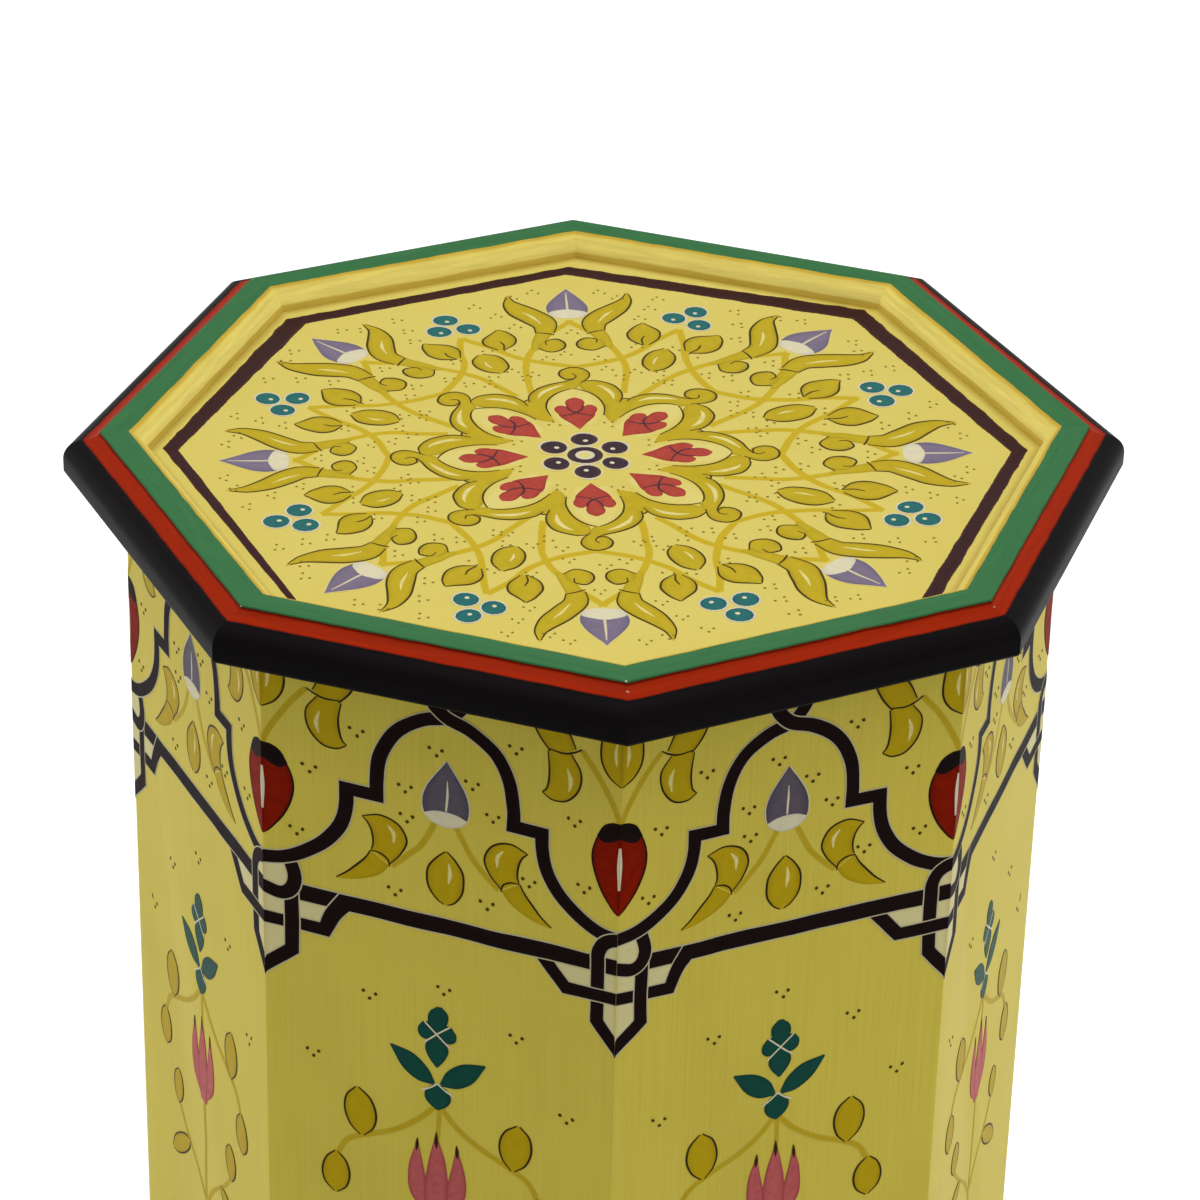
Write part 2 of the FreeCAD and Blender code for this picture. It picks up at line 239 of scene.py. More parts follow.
for i in range(SIDES):
    panel = new_piece(f"painted_panel_{i + 1}", panel_mesh(i), panel_paint, bare_pine)
    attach(panel, "root")
    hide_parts(f"side_panel_{i + 1}")

# Corner strips and top cleats: bare sawn pine inside the body. The strips are glued up the inner corners;
# the cleats make a mitred ring under the top, glued to the panels.
CLEAT_RING = 3.5
CLEAT_RUN = 110.0


def from_middle(tree, place):
    """How far a place lies from the table's upright axis, square to the nearest side."""
    axes = add(tree, "ShaderNodeSeparateXYZ", {0: place}).outputs
    x, y = (add(tree, "ShaderNodeMath", {0: axes[name]}, operation="ABSOLUTE") for name in "XY")
    square = add(tree, "ShaderNodeMath", {0: x, 1: y}, operation="MAXIMUM")
    both = add(tree, "ShaderNodeMath", {0: x, 1: y}, operation="ADD")
    slant = add(tree, "ShaderNodeMath", {0: both, 1: math.sqrt(0.5)}, operation="MULTIPLY")
    return add(tree, "ShaderNodeMath", {0: square, 1: slant}, operation="MAXIMUM")


# Bare pine round the ring of cleats: the bands follow the distance from the middle and the height
ring_pine, tree, place = new_material("sawn bare pine, grain along the cleat")
level = add(tree, "ShaderNodeSeparateXYZ", {0: place}).outputs["Z"]
section = add(tree, "ShaderNodeCombineXYZ", {"X": from_middle(tree, place), "Z": level})
bands = add(tree, "ShaderNodeVectorMath", {0: section, "Scale": per_metre(CLEAT_RING)}, operation="SCALE")
drift = add(tree, "ShaderNodeVectorMath", {0: place, "Scale": per_metre(CLEAT_RUN)}, operation="SCALE")
saw_pine(tree, add(tree, "ShaderNodeVectorMath", {0: bands, 1: drift}, operation="ADD"))

for i in range(SIDES):
    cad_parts[f"corner_strip_{i + 1}"].material_slots[0].material = bare_pine
    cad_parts[f"top_cleat_{i + 1}"].material_slots[0].material = ring_pine

# Cleat screws and rim brads: plain steel wire fixings. The screws go up through the cleats into the board;
# the brads are punched through the rim into the board's tongue and stopped over, so they don't show.
WIRE_STEEL = "#9A9894"
WIRE_TARNISH = "#6E6A64"
TARNISH_SPOT = 1.2

# Drawn steel wire with a dull store-room tarnish in small spots
wire_steel, tree, place = new_material("plain steel wire")
spots = add(tree, "ShaderNodeTexNoise", {"Vector": place, "Scale": per_metre(TARNISH_SPOT), "Detail": 3.0})
finish = {
    "Base Color": add(tree, "ShaderNodeMix", {0: spots, 6: WIRE_STEEL, 7: WIRE_TARNISH}, data_type="RGBA"),
    "Roughness": add(tree, "ShaderNodeMapRange", {"Value": spots, "To Min": 0.3, "To Max": 0.55}),
    "Metallic": 1.0,
}
add(tree, "ShaderNodeOutputMaterial", {"Surface": add(tree, "ShaderNodeBsdfPrincipled", finish)})

for name in ("cleat_screws", "rim_brads"):
    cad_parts[name].material_slots[0].material = wire_steel

# Top board: one octagonal board with a tongue round its edge. Its upper face is the sunk field, primed,
# painted pale yellow and varnished; the underside and the tongue stay bare.
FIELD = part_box("top_board")[1].z / MM
FIELD_YELLOW = "#DBC860"
FIELD_PALE = "#E2D172"
FIELD_DUST = "#C9B44A"
FIELD_CLOUD = 45.0
FIELD_GRIT = 1.1
GRIT_DEPTH = 0.05
PAINT_REACH = 0.5
DULL_PAINT = 0.04
BOARD_GRAIN = 6.0
# Painted shade: olive darkening of the field in the inner corner at the foot of the rim
FIELD_FOOT_SHADE = "#A48A2C"
FOOT_SHADE_FROM = 167.2
FOOT_SHADE_TO = 171.2
FOOT_SHADE_SHARE = 0.75
FOOT_SHADE_DRIFT = 0.8
FOOT_SHADE_PATCH = 9.0

# Varnished yellow oil paint on a smooth board: nearly even, a little paler in clouds, with fine dull grit
# and an olive painted shade that darkens the field in the inner corner along the foot of the rim
board_paint, tree, place = new_material("varnished yellow oil paint over pine")
clouds, grit, patches = (
    add(tree, "ShaderNodeTexNoise", {"Vector": place, "Scale": per_metre(size), "Detail": detail})
    for size, detail in ((FIELD_CLOUD, 3.0), (FIELD_GRIT, 2.0), (FOOT_SHADE_PATCH, 3.0))
)
clouded = add(tree, "ShaderNodeMix", {0: clouds, 6: FIELD_YELLOW, 7: FIELD_PALE}, data_type="RGBA")
gritty = toned(tree, clouded, FIELD_DUST, grit, 0.6, 0.78, 0.4)
swing = {0: patches, 1: 2 * FOOT_SHADE_DRIFT * MM, 2: -FOOT_SHADE_DRIFT * MM}
drift = add(tree, "ShaderNodeMath", swing, operation="MULTIPLY_ADD")
to_rim = add(tree, "ShaderNodeMath", {0: from_middle(tree, place), 1: drift}, operation="ADD")
# painted shade: the field turns olive from a little inside the rim's foot to the foot itself
foot_shaded = toned(tree, gritty, FIELD_FOOT_SHADE, to_rim, FOOT_SHADE_FROM * MM, FOOT_SHADE_TO * MM, FOOT_SHADE_SHARE)
fine, long = per_metre(BOARD_GRAIN), per_metre(PINE_RUN)
board_run = add(tree, "ShaderNodeMapping", {"Vector": place, "Scale": (long, fine, fine)})
rings = add(tree, "ShaderNodeTexNoise", {"Vector": board_run, "Scale": 1.0, "Detail": 4.0})
wood = add(tree, "ShaderNodeMix", {0: rings, 6: PINE, 7: PINE_LATE}, data_type="RGBA")
level = add(tree, "ShaderNodeSeparateXYZ", {0: place}).outputs["Z"]
painted = add(tree, "ShaderNodeMath", {0: level, 1: (FIELD - PAINT_REACH) * MM}, operation="GREATER_THAN")
finish = {
    "Base Color": add(tree, "ShaderNodeMix", {0: painted, 6: wood, 7: foot_shaded}, data_type="RGBA"),
    "Roughness": add(tree, "ShaderNodeMapRange", {"Value": painted, "To Min": PINE_DULL, "To Max": 0.45}),
    "Normal": add(tree, "ShaderNodeBump", {"Height": grit, "Strength": 0.1, "Distance": GRIT_DEPTH * MM}),
    "Specular IOR Level": DULL_PAINT,
}
add(tree, "ShaderNodeOutputMaterial", {"Surface": add(tree, "ShaderNodeBsdfPrincipled", finish)})

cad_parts["top_board"].material_slots[0].material = board_paint

# Rim mouldings: eight sticks run to one section, mitred round the board and lapped over its tongue. From
# outside in: a black nose, a red cove, a green band and a yellow slope, each painted freehand to its edge.
TONGUE = 183.1
FIELD_EDGE = 171.1
NOSE = 203.0
STEP = 195.5
BAND = 188.9
BAND_INNER = 177.4
RIM_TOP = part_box("rim_moulding_1")[1].z / MM
STEP_LEVEL = 504.0
LIP_LEVEL = 506.8
NOSE_LEVEL = 495.5
UNDERSIDE = 488.0
TONGUE_TOP = 493.0
NOSE_ARRIS = 2.5
NOSE_RADIUS = 8.57
COVE_RADIUS = 9.0
SLOPE_RADIUS = 11.09
EDGE_EASE = 0.4
RIM_SHARP = 28
WORN_END = 6.0
CHIP = 2.2
CHIPS_END = 3.0
CHIPS_OFF_LIP = (3.0, 7.0)
NEXT_STICK = 500.0
BRUSH_PULL = 14.0
BRUSH_WIDTH = 20 / 9
BRUSH_DEPTH = 0.1
WANDER = 0.8
WANDER_SPAN = 14.0
RIM_GLOSS = 0.02
NOSE_BLACK = "#0F0C0D"
COVE_RED = "#A0280A"
# painted shade on the lip under the green band: deep red below, dark green above; the deep red also edges the
# cove by the nose
COVE_EDGE_AND_LIP_SHADE = "#7A1803"
BAND_GREEN = "#3B7346"
BAND_GREEN_LIP_SHADE = "#2C5F38"
OCHRE = "#CFAB3E"
SLOPE_YELLOW = "#E1CD66"
# painted light on the lower slope, paler where its steep face gets less light; painted shade in an olive
# strip at its foot
SLOPE_PAINTED_LIGHT = "#ECDA77"
SLOPE_FOOT_SHADE = "#D0B54F"
SLOPE_SHADE_WIDTH = 2.9
PRIMER = "#DCCFB4"
RIM_MARKS = ("section_run", "from_mitre", "lengthwise")


def bow(start, stop, radius, side, steps=10):
    """Points after start on an arc to stop, with its centre to the left (side 1) or the right (-1)."""
    a, b = np.array(start), np.array(stop)
    chord = b - a
    length = np.linalg.norm(chord)
    left = np.array((-chord[1], chord[0])) / length
    centre = (a + b) / 2 + left * side * math.sqrt(radius**2 - length**2 / 4)
    first = math.atan2(*(a - centre)[::-1])
    sweep = 2 * math.asin(length / 2 / radius) * side
    angles = [first + sweep * i / steps for i in range(1, steps + 1)]
    return [(centre[0] + radius * math.cos(t), centre[1] + radius * math.sin(t)) for t in angles]


def eased(before, corner, after):
    """The two points that take the place of a sharp corner, a little way along each of its sides."""
    corner = np.array(corner)
    return [
        tuple(corner + (np.array(p) - corner) / np.linalg.norm(np.array(p) - corner) * EDGE_EASE)
        for p in (before, after)
    ]


step_edge = (STEP, STEP_LEVEL)
lip_foot = (BAND, LIP_LEVEL)
band_edge = (BAND, RIM_TOP)
slope_edge = (BAND_INNER, RIM_TOP)
slope_foot = (FIELD_EDGE, FIELD)
nose_bow = bow((NOSE, NOSE_LEVEL), step_edge, NOSE_RADIUS, 1)
cove_bow = bow(step_edge, lip_foot, COVE_RADIUS, -1)
slope_bow = bow(slope_edge, slope_foot, SLOPE_RADIUS, 1)
show_face = [
    (NOSE - NOSE_ARRIS, UNDERSIDE),
    *bow((NOSE - NOSE_ARRIS, UNDERSIDE), (NOSE, UNDERSIDE + NOSE_ARRIS), NOSE_ARRIS, 1),
    (NOSE, NOSE_LEVEL),
    *nose_bow[:-1],
    *eased(nose_bow[-2], step_edge, cove_bow[0]),
    *cove_bow[1:],
    *eased(lip_foot, band_edge, slope_edge),
    *eased(band_edge, slope_edge, slope_bow[0]),
    *slope_bow[1:],
]
hidden_face = [(FIELD_EDGE, TONGUE_TOP), (TONGUE, TONGUE_TOP), (TONGUE, UNDERSIDE)]
run = [0.0]
for (ra, za), (rb, zb) in zip(show_face, show_face[1:]):
    run.append(run[-1] + math.hypot(rb - ra, zb - za))
run += [0.0] * len(hidden_face)
# Distances along the section, in millimetres, at which one colour gives way to the next
red_from = run[show_face.index(cove_bow[1])] - math.dist(cove_bow[1], step_edge)
lip_from = run[show_face.index(cove_bow[-1])]
green_from = lip_from + RIM_TOP - LIP_LEVEL
green_to = green_from + BAND - BAND_INNER
slope_to = run[len(show_face) - 1]


def rim_mesh(index):
    """One moulding: its section drawn out between two mitres, with the worn ends marked."""
    section = show_face + hidden_face
    bm = bmesh.new()
    mark_run, mark_end, mark_length = (bm.verts.layers.float.new(name) for name in RIM_MARKS)
    rings = []
    for side, inset in ((-1, 0), (-1, WORN_END), (1, WORN_END), (1, 0)):
        ring = []
        for (r, z), along in zip(section, run):
            vert = bm.verts.new((side * (r * MITRE - inset) * MM, -r * MM, z * MM))
            vert[mark_run] = along
            vert[mark_end] = inset
            vert[mark_length] = side * (r * MITRE - inset) + index * NEXT_STICK
            ring.append(vert)
        rings.append(ring)
    count = len(section)
    for ring_a, ring_b in zip(rings, rings[1:]):
        for j in range(count):
            bm.faces.new((ring_a[j], ring_b[j], ring_b[(j + 1) % count], ring_a[(j + 1) % count]))
    bm.faces.new(rings[0])
    bm.faces.new(rings[-1])
    bmesh.ops.recalc_face_normals(bm, faces=bm.faces)
    return on_side(bm, f"rim_{index + 1}", index, RIM_SHARP)


# Freehand oil paint on a moulding: each colour meets the next in a slightly wandering line, the green shows
# bristle marks, and pale primer shows in chips at the mitres. The lower slope is painted paler as painted
# light, the slope's foot olive as painted shade, and the lip under the green band darker as painted shade
rim_paint, tree, place = new_material("freehand paint on moulding")
along, from_mitre, lengthwise = (
    add(tree, "ShaderNodeAttribute", attribute_name=name).outputs["Fac"] for name in RIM_MARKS
)
wander = add(tree, "ShaderNodeTexNoise", {"Vector": place, "Scale": per_metre(WANDER_SPAN), "Detail": 4.0})
drift = add(tree, "ShaderNodeMath", {0: wander, 1: 2 * WANDER, 2: -WANDER}, operation="MULTIPLY_ADD")
painted_run = add(tree, "ShaderNodeMath", {0: along, 1: drift}, operation="ADD")
share = add(tree, "ShaderNodeMath", {0: painted_run, 1: slope_to}, operation="DIVIDE")
zones = add(tree, "ShaderNodeValToRGB", {"Fac": share})
stops = [
    (0.0, NOSE_BLACK),
    (red_from, NOSE_BLACK),
    (red_from + 0.3, COVE_EDGE_AND_LIP_SHADE),
    (red_from + 1.2, COVE_RED),
    (lip_from - 0.8, COVE_RED),
    # painted shade: the lip under the green band, deep red then dark green, as the shadow in the step
    (lip_from - 0.2, COVE_EDGE_AND_LIP_SHADE),
    (green_from - 0.7, COVE_EDGE_AND_LIP_SHADE),
    (green_from - 0.4, BAND_GREEN_LIP_SHADE),
    (green_from + 0.5, BAND_GREEN),
    (green_to - 0.9, BAND_GREEN),
    (green_to - 0.4, OCHRE),
    (green_to + 0.4, OCHRE),
    (green_to + 1.6, SLOPE_YELLOW),
    # painted light: paler yellow on the lower slope; painted shade: olive over the last part of the slope, at
    # its foot
    (slope_to - SLOPE_SHADE_WIDTH - 3.5, SLOPE_PAINTED_LIGHT),
    (slope_to - SLOPE_SHADE_WIDTH - 0.3, SLOPE_PAINTED_LIGHT),
    (slope_to - SLOPE_SHADE_WIDTH + 0.3, SLOPE_FOOT_SHADE),
    (slope_to, SLOPE_FOOT_SHADE),
]
ramp = zones.color_ramp.elements
ramp[0].color, ramp[1].color = linear(stops[0][1]), linear(stops[-1][1])
for at, colour in stops[1:-1]:
    ramp.new(at / slope_to).color = linear(colour)
pulled = add(tree, "ShaderNodeMath", {0: lengthwise, 1: 1 / BRUSH_PULL}, operation="MULTIPLY")
brush_way = add(tree, "ShaderNodeCombineXYZ", {"X": along, "Y": pulled})
bristles = {"Vector": brush_way, "Scale": 1 / BRUSH_WIDTH, "Detail": 5.0, "Roughness": 0.65}
mottle = add(tree, "ShaderNodeTexNoise", bristles)
depth = {"Value": mottle, "From Min": 0.3, "From Max": 0.7, "To Min": 0.88, "To Max": 1.12}
shading = add(tree, "ShaderNodeMapRange", depth)
mottled = add(tree, "ShaderNodeMix", {0: 1.0, 6: zones, 7: shading}, data_type="RGBA", blend_type="MULTIPLY")
chips = add(tree, "ShaderNodeTexNoise", {"Vector": place, "Scale": per_metre(CHIP), "Detail": 3.0})
near_end = {"Value": from_mitre, "From Max": CHIPS_END, "To Min": 0.15, "To Max": -0.15}
worn_end = add(tree, "ShaderNodeMapRange", near_end)
from_lip = add(tree, "ShaderNodeMath", {0: along, 1: lip_from}, operation="SUBTRACT")
off_lip = add(tree, "ShaderNodeMath", {0: from_lip}, operation="ABSOLUTE")
near_lip = {"Value": off_lip, "From Min": CHIPS_OFF_LIP[0], "From Max": CHIPS_OFF_LIP[1], "To Max": -0.4}
worn_lip = add(tree, "ShaderNodeMapRange", near_lip)
wear = add(tree, "ShaderNodeMath", {0: worn_end, 1: worn_lip}, operation="ADD")
chipped = add(tree, "ShaderNodeMath", {0: chips, 1: wear}, operation="ADD")
finish = {
    "Base Color": toned(tree, mottled, PRIMER, chipped, 0.72, 0.78),
    "Roughness": add(tree, "ShaderNodeMapRange", {"Value": mottle, "To Min": 0.28, "To Max": 0.5}),
    "Normal": add(tree, "ShaderNodeBump", {"Height": mottle, "Strength": 0.1, "Distance": BRUSH_DEPTH * MM}),
    "Specular IOR Level": RIM_GLOSS,
}
add(tree, "ShaderNodeOutputMaterial", {"Surface": add(tree, "ShaderNodeBsdfPrincipled", finish)})

for i in range(SIDES):
    rim = new_piece(f"painted_rim_{i + 1}", rim_mesh(i), rim_paint)
    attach(rim, "root")
    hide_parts(f"rim_moulding_{i + 1}")

# Brown line: one coat of dark oil paint laid freehand round the field, just inside the slope. Like all the
# ornament it is a thin closed film of paint that follows the board.
LINE_OUTER = 165.8
LINE_INNER = 158.9
LINE_BROWN = "#341A1B"
LINE_EDGE = "#472B24"
LINE_STATIONS = 120
RAGGED = 0.35
RAGGED_BLUR = 5
RAGGED_ENDS = 20
HALF_RUN = 66.0
# Where the line runs on each side from side 1 on: how far out its inner and outer edges lie at the middle of
# the side, and how much farther at the side's far end
LINE_RUNS = (
    ((163.6, 0), (168.6, 0)),
    ((163.6, 0), (168.6, 0)),
    ((159.6, 0.4), (165.8, 0.3)),
    ((156.6, -0.5), (164.8, 0.4)),
    ((155.4, -2.5), (165.0, -3.6)),
    ((156.6, -0.3), (163.9, 0)),
    ((158.6, 1.6), (166.8, 0.1)),
    ((159.9, 1.2), (164.0, 0)),
)
FIRST_COAT = 0.04
COAT_STEP = 0.0018
COAT_FOOT = 0.3
FILM_DEPTH = 0.1
FILM_RELIEF = 0.15
EDGE_FROM = 0.55
THIN_FROM = 0.42
THIN_FULL = 0.7
HAND_SEED = 11
HAND_SPAN = 25.0
# Noise strays about a quarter from its middle, and its error fades out over the last part of a face's half
# width, which on the field is too far off to matter
HAND_GAIN = 4.0
HAND_FADE = 0.7
NO_FADE = 10000.0


def smooth(points, steps=6):
    """A freehand curve through points; any further columns, such as half widths, go along with it."""
    p = np.asarray(points, float)
    q = np.vstack([2 * p[0] - p[1], p, 2 * p[-1] - p[-2]])
    t = (np.arange(steps) / steps)[:, None]
    spans = [
        b + 0.5 * ((c - a) * t + (2 * a - 5 * b + 4 * c - d) * t**2 + (3 * b - a - 3 * c + d) * t**3)
        for a, b, c, d in zip(q, q[1:], q[2:], q[3:])
    ]
    return np.vstack([*spans, p[-1:]])


def turned(points, degrees):
    """Points (across, outwards) of the top's base sector, turned about the middle."""
    p = np.asarray(points, float)
    c, s = math.cos(math.radians(degrees)), math.sin(math.radians(degrees))
    return np.column_stack([p[:, 0] * c + p[:, 1] * s, p[:, 1] * c - p[:, 0] * s])


def on_field(across, outwards, level):
    """A point of the base sector on the top board, whose outward axis is the way that side 1 faces."""
    return (across * MM, -outwards * MM, (FIELD + level) * MM)


class Coat:
    """Paint of one colour: closed thin films, each laid just above the one before it."""

    laid = {}

    def __init__(self, place, name, paint):
        self.place, self.name, self.paint = place, name, paint
        self.points, self.faces, self.across = [], [], []

    def film(self, left, right, apart=False):
        """A film between two edges, with its foot sunk into the wood under it. One that lies apart from the
        film before it takes the same level."""
        Coat.laid[self.place] = Coat.laid.get(self.place, 0) + (not apart)
        level = FIRST_COAT + Coat.laid[self.place] * COAT_STEP
        rows = (
            (left, level, -1),
            ((left + right) / 2, level, 0),
            (right, level, 1),
            (right, -COAT_FOOT, 1),
            (left, -COAT_FOOT, -1),
        )
        first, count = len(self.points), len(left)
        for line, height, across in rows:
            self.points += [self.place(a, b, height) for a, b in line]
            self.across += [across] * count
        starts = [first + r * count for r in range(len(rows))]
        for near, far in zip(starts, starts[1:] + starts[:1]):
            self.faces += [(near + i, near + i + 1, far + i + 1, far + i) for i in range(count - 1)]
        self.faces += [starts, [start + count - 1 for start in starts]]
        return left, right

    def stroke(self, line, half):
        """A brush stroke along a line, mitred where it turns sharply; returns its two edges."""
        line = np.asarray(line, float)
        step = np.diff(line, axis=0)
        step /= np.linalg.norm(step, axis=1, keepdims=True)
        before, after = np.vstack([step[:1], step]), np.vstack([step, step[-1:]])
        along = before + after
        across = np.column_stack([-along[:, 1], along[:, 0]]) / np.linalg.norm(along, axis=1, keepdims=True)
        lean = across[:, 1] * before[:, 0] - across[:, 0] * before[:, 1]
        reach = across * (np.asarray(half) / np.clip(lean, 0.5, 1)).reshape(-1, 1)
        return self.film(line + reach, line - reach)

    def leaf(self, points, halves, steps=6):
        """A stroke that swells and thins: a freehand curve with a half width at each of its points."""
        path = smooth(np.column_stack([points, halves]), steps)
        return self.stroke(path[:, :2], np.maximum(path[:, 2], 0.05))

    def dot(self, middle, radius, steps=6, apart=False):
        """A round dab of the brush."""
        angles = np.radians(np.linspace(80, -80, steps + 1))
        x, y = radius * np.cos(angles), radius * np.sin(angles)
        return self.film(np.column_stack([-x, y]) + middle, np.column_stack([x, y]) + middle, apart)

    def mesh(self):
        """All the films as one mesh, with the place across the stroke kept for shading."""
        mesh = bpy.data.meshes.new(self.name)
        mesh.from_pydata(self.points, [], self.faces)
        across = mesh.attributes.new("across", "FLOAT", "POINT")
        across.data.foreach_set("value", self.across)
        bm = bmesh.new()
        bm.from_mesh(mesh)
        bmesh.ops.recalc_face_normals(bm, faces=bm.faces)
        bm.to_mesh(mesh)
        bm.free()
        return mesh


def new_set_out():
    """The tree that repeats one sector's films round the table, and moves each by a steady hand's error."""
    tree = bpy.data.node_groups.new("set out round the table", "GeometryNodeTree")
    tree.interface.new_socket("Geometry", in_out="OUTPUT", socket_type="NodeSocketGeometry")
    sockets = {}
    for name, kind, value in (
        ("Geometry", "Geometry", None),
        ("Count", "Int", SIDES),
        ("First Angle", "Float", 0.0),
        ("Hand Error", "Float", 0.0),
        ("Hand Span", "Float", HAND_SPAN * MM),
        ("Seed", "Float", HAND_SEED),
        ("Upright", "Float", 0.0),
        ("Half Width", "Float", NO_FADE * MM),
        ("Paint", "Material", None),
    ):
        socket = tree.interface.new_socket(name, in_out="INPUT", socket_type=f"NodeSocket{kind}")
        if value is not None:
            socket.default_value = value
        sockets[name] = socket.identifier
    given = add(tree, "NodeGroupInput").outputs
    points = add(tree, "GeometryNodePoints", {"Count": given["Count"]})
    index = add(tree, "GeometryNodeInputIndex")
    step = add(tree, "ShaderNodeMath", {0: math.tau, 1: given["Count"]}, operation="DIVIDE")
    turns = {0: index, 1: step, 2: given["First Angle"]}
    angle = add(tree, "ShaderNodeMath", turns, operation="MULTIPLY_ADD")
    turn = add(tree, "FunctionNodeEulerToRotation", {0: add(tree, "ShaderNodeCombineXYZ", {"Z": angle})})
    known = {"Geometry": points, "Name": "turn", "Value": angle}
    kept = add(tree, "GeometryNodeStoreNamedAttribute", known, data_type="FLOAT", domain="POINT")
    sector = {"Points": kept, "Instance": given["Geometry"], "Rotation": turn}
    round_table = add(tree, "GeometryNodeInstanceOnPoints", sector)
    real = add(tree, "GeometryNodeRealizeInstances", {"Geometry": round_table})
    own_turn = add(tree, "GeometryNodeInputNamedAttribute", {"Name": "turn"}, data_type="FLOAT")
    here = add(tree, "GeometryNodeInputPosition")
    back = add(tree, "ShaderNodeMath", {0: own_turn, 1: -1.0}, operation="MULTIPLY")
    local = add(tree, "ShaderNodeVectorRotate", {"Vector": here, "Angle": back}, rotation_type="Z_AXIS")
    beside = add(tree, "ShaderNodeSeparateXYZ", {0: local}).outputs["X"]
    from_axis = add(tree, "ShaderNodeMath", {0: beside}, operation="ABSOLUTE")
    fade_from = add(tree, "ShaderNodeMath", {0: given["Half Width"], 1: HAND_FADE}, operation="MULTIPLY")
    ends = {"Value": from_axis, "From Min": fade_from, "From Max": given["Half Width"]}
    fade = add(tree, "ShaderNodeMapRange", {**ends, "To Min": 1.0, "To Max": 0.0})
    span = add(tree, "ShaderNodeMath", {0: 1.0, 1: given["Hand Span"]}, operation="DIVIDE")
    waver = {"Vector": here, "W": given["Seed"], "Scale": span, "Detail": 1.0}
    noise = add(tree, "ShaderNodeTexNoise", waver, noise_dimensions="4D").outputs["Color"]
    centred = add(tree, "ShaderNodeVectorMath", {0: noise, 1: (0.5, 0.5, 0.5)}, operation="SUBTRACT")
    reach = add(tree, "ShaderNodeMath", {0: given["Hand Error"], 1: HAND_GAIN}, operation="MULTIPLY")
    error = add(tree, "ShaderNodeVectorMath", {0: centred, "Scale": reach}, operation="SCALE")
    parts = add(tree, "ShaderNodeSeparateXYZ", {0: error}).outputs
    level = add(tree, "ShaderNodeMath", {0: 1.0, 1: given["Upright"]}, operation="SUBTRACT")
    sideways, outwards, upwards = (
        add(tree, "ShaderNodeMath", {0: parts[name], 1: share}, operation="MULTIPLY")
        for name, share in (("X", fade), ("Y", level), ("Y", given["Upright"]))
    )
    own_error = add(tree, "ShaderNodeCombineXYZ", {"X": sideways, "Y": outwards, "Z": upwards})
    there = {"Vector": own_error, "Angle": own_turn}
    hand = add(tree, "ShaderNodeVectorRotate", there, rotation_type="Z_AXIS")
    moved = add(tree, "GeometryNodeSetPosition", {"Geometry": real, "Offset": hand})
    coated = add(tree, "GeometryNodeSetMaterial", {"Geometry": moved, "Material": given["Paint"]})
    add(tree, "NodeGroupOutput", {0: coated})
    return tree, sockets


set_out_tree, set_out_sockets = new_set_out()


def lay(coat, slot, slips, **settings):
    """Sets a coat out round the table as one plain mesh that goes with the body. slips is a function that
    moves the mesh's points by the painter's larger errors; settings are inputs of the set-out tree."""
    piece = new_piece(coat.name, coat.mesh())
    modifier = piece.modifiers.new("set out", "NODES")
    modifier.node_group = set_out_tree
    modifier[set_out_sockets["Paint"]] = coat.paint
    for key, value in settings.items():
        modifier[set_out_sockets[key.replace("_", " ").title()]] = value
    plain = bpy.data.meshes.new_from_object(piece.evaluated_get(bpy.context.evaluated_depsgraph_get()))
    plain.name = coat.name
    piece.modifiers.remove(modifier)
    piece.data = plain
    points = np.empty(3 * len(plain.vertices))
    plain.vertices.foreach_get("co", points)
    plain.vertices.foreach_set("co", slips(points.reshape(-1, 3)).ravel())
    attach(piece, "root")


def brush_paint(name, body, edge, thin, mottle, gloss=DULL_PAINT):
    """Brush paint: full colour along the middle of a stroke, another tone at its edges, and a slight mottle
    where the coat is thin. thin is how far the mottle goes towards the edge tone."""
    material, tree, place = new_material(name)
    across = add(tree, "ShaderNodeAttribute", attribute_name="across").outputs["Fac"]
    off_middle = add(tree, "ShaderNodeMath", {0: across}, operation="ABSOLUTE")
    at_edge = add(tree, "ShaderNodeMapRange", {"Value": off_middle, "From Min": EDGE_FROM})
    patches = add(tree, "ShaderNodeTexNoise", {"Vector": place, "Scale": per_metre(mottle), "Detail": 3.0})
    bare = {"Value": patches, "From Min": THIN_FROM, "From Max": THIN_FULL, "To Max": thin}
    thinned = add(tree, "ShaderNodeMapRange", bare)
    most = add(tree, "ShaderNodeMath", {0: at_edge, 1: thinned}, operation="MAXIMUM")
    relief = {"Height": patches, "Strength": FILM_RELIEF, "Distance": FILM_DEPTH * MM}
    finish = {
        "Base Color": add(tree, "ShaderNodeMix", {0: most, 6: body, 7: edge}, data_type="RGBA"),
        "Roughness": add(tree, "ShaderNodeMapRange", {"Value": patches, "To Min": 0.38, "To Max": 0.55}),
        "Normal": add(tree, "ShaderNodeBump", relief),
        "Specular IOR Level": gloss,
    }
    add(tree, "ShaderNodeOutputMaterial", {"Surface": add(tree, "ShaderNodeBsdfPrincipled", finish)})
    return material


def line_corners(edge):
    """Where the runs of one edge of the line cross; the first corner lies between sides 1 and 2."""
    runs = []
    for side, edges in enumerate(LINE_RUNS):
        a = math.radians(TURN * side)
        far, more = edges[edge]
        outwards, beside = np.array((math.sin(a), -math.cos(a))), np.array((math.cos(a), math.sin(a)))
        runs.append((outwards - beside * more / HALF_RUN, far))
    return np.array([np.linalg.solve([n, m], [d, e]) for (n, d), (m, e) in zip(runs, runs[1:] + runs[:1])])


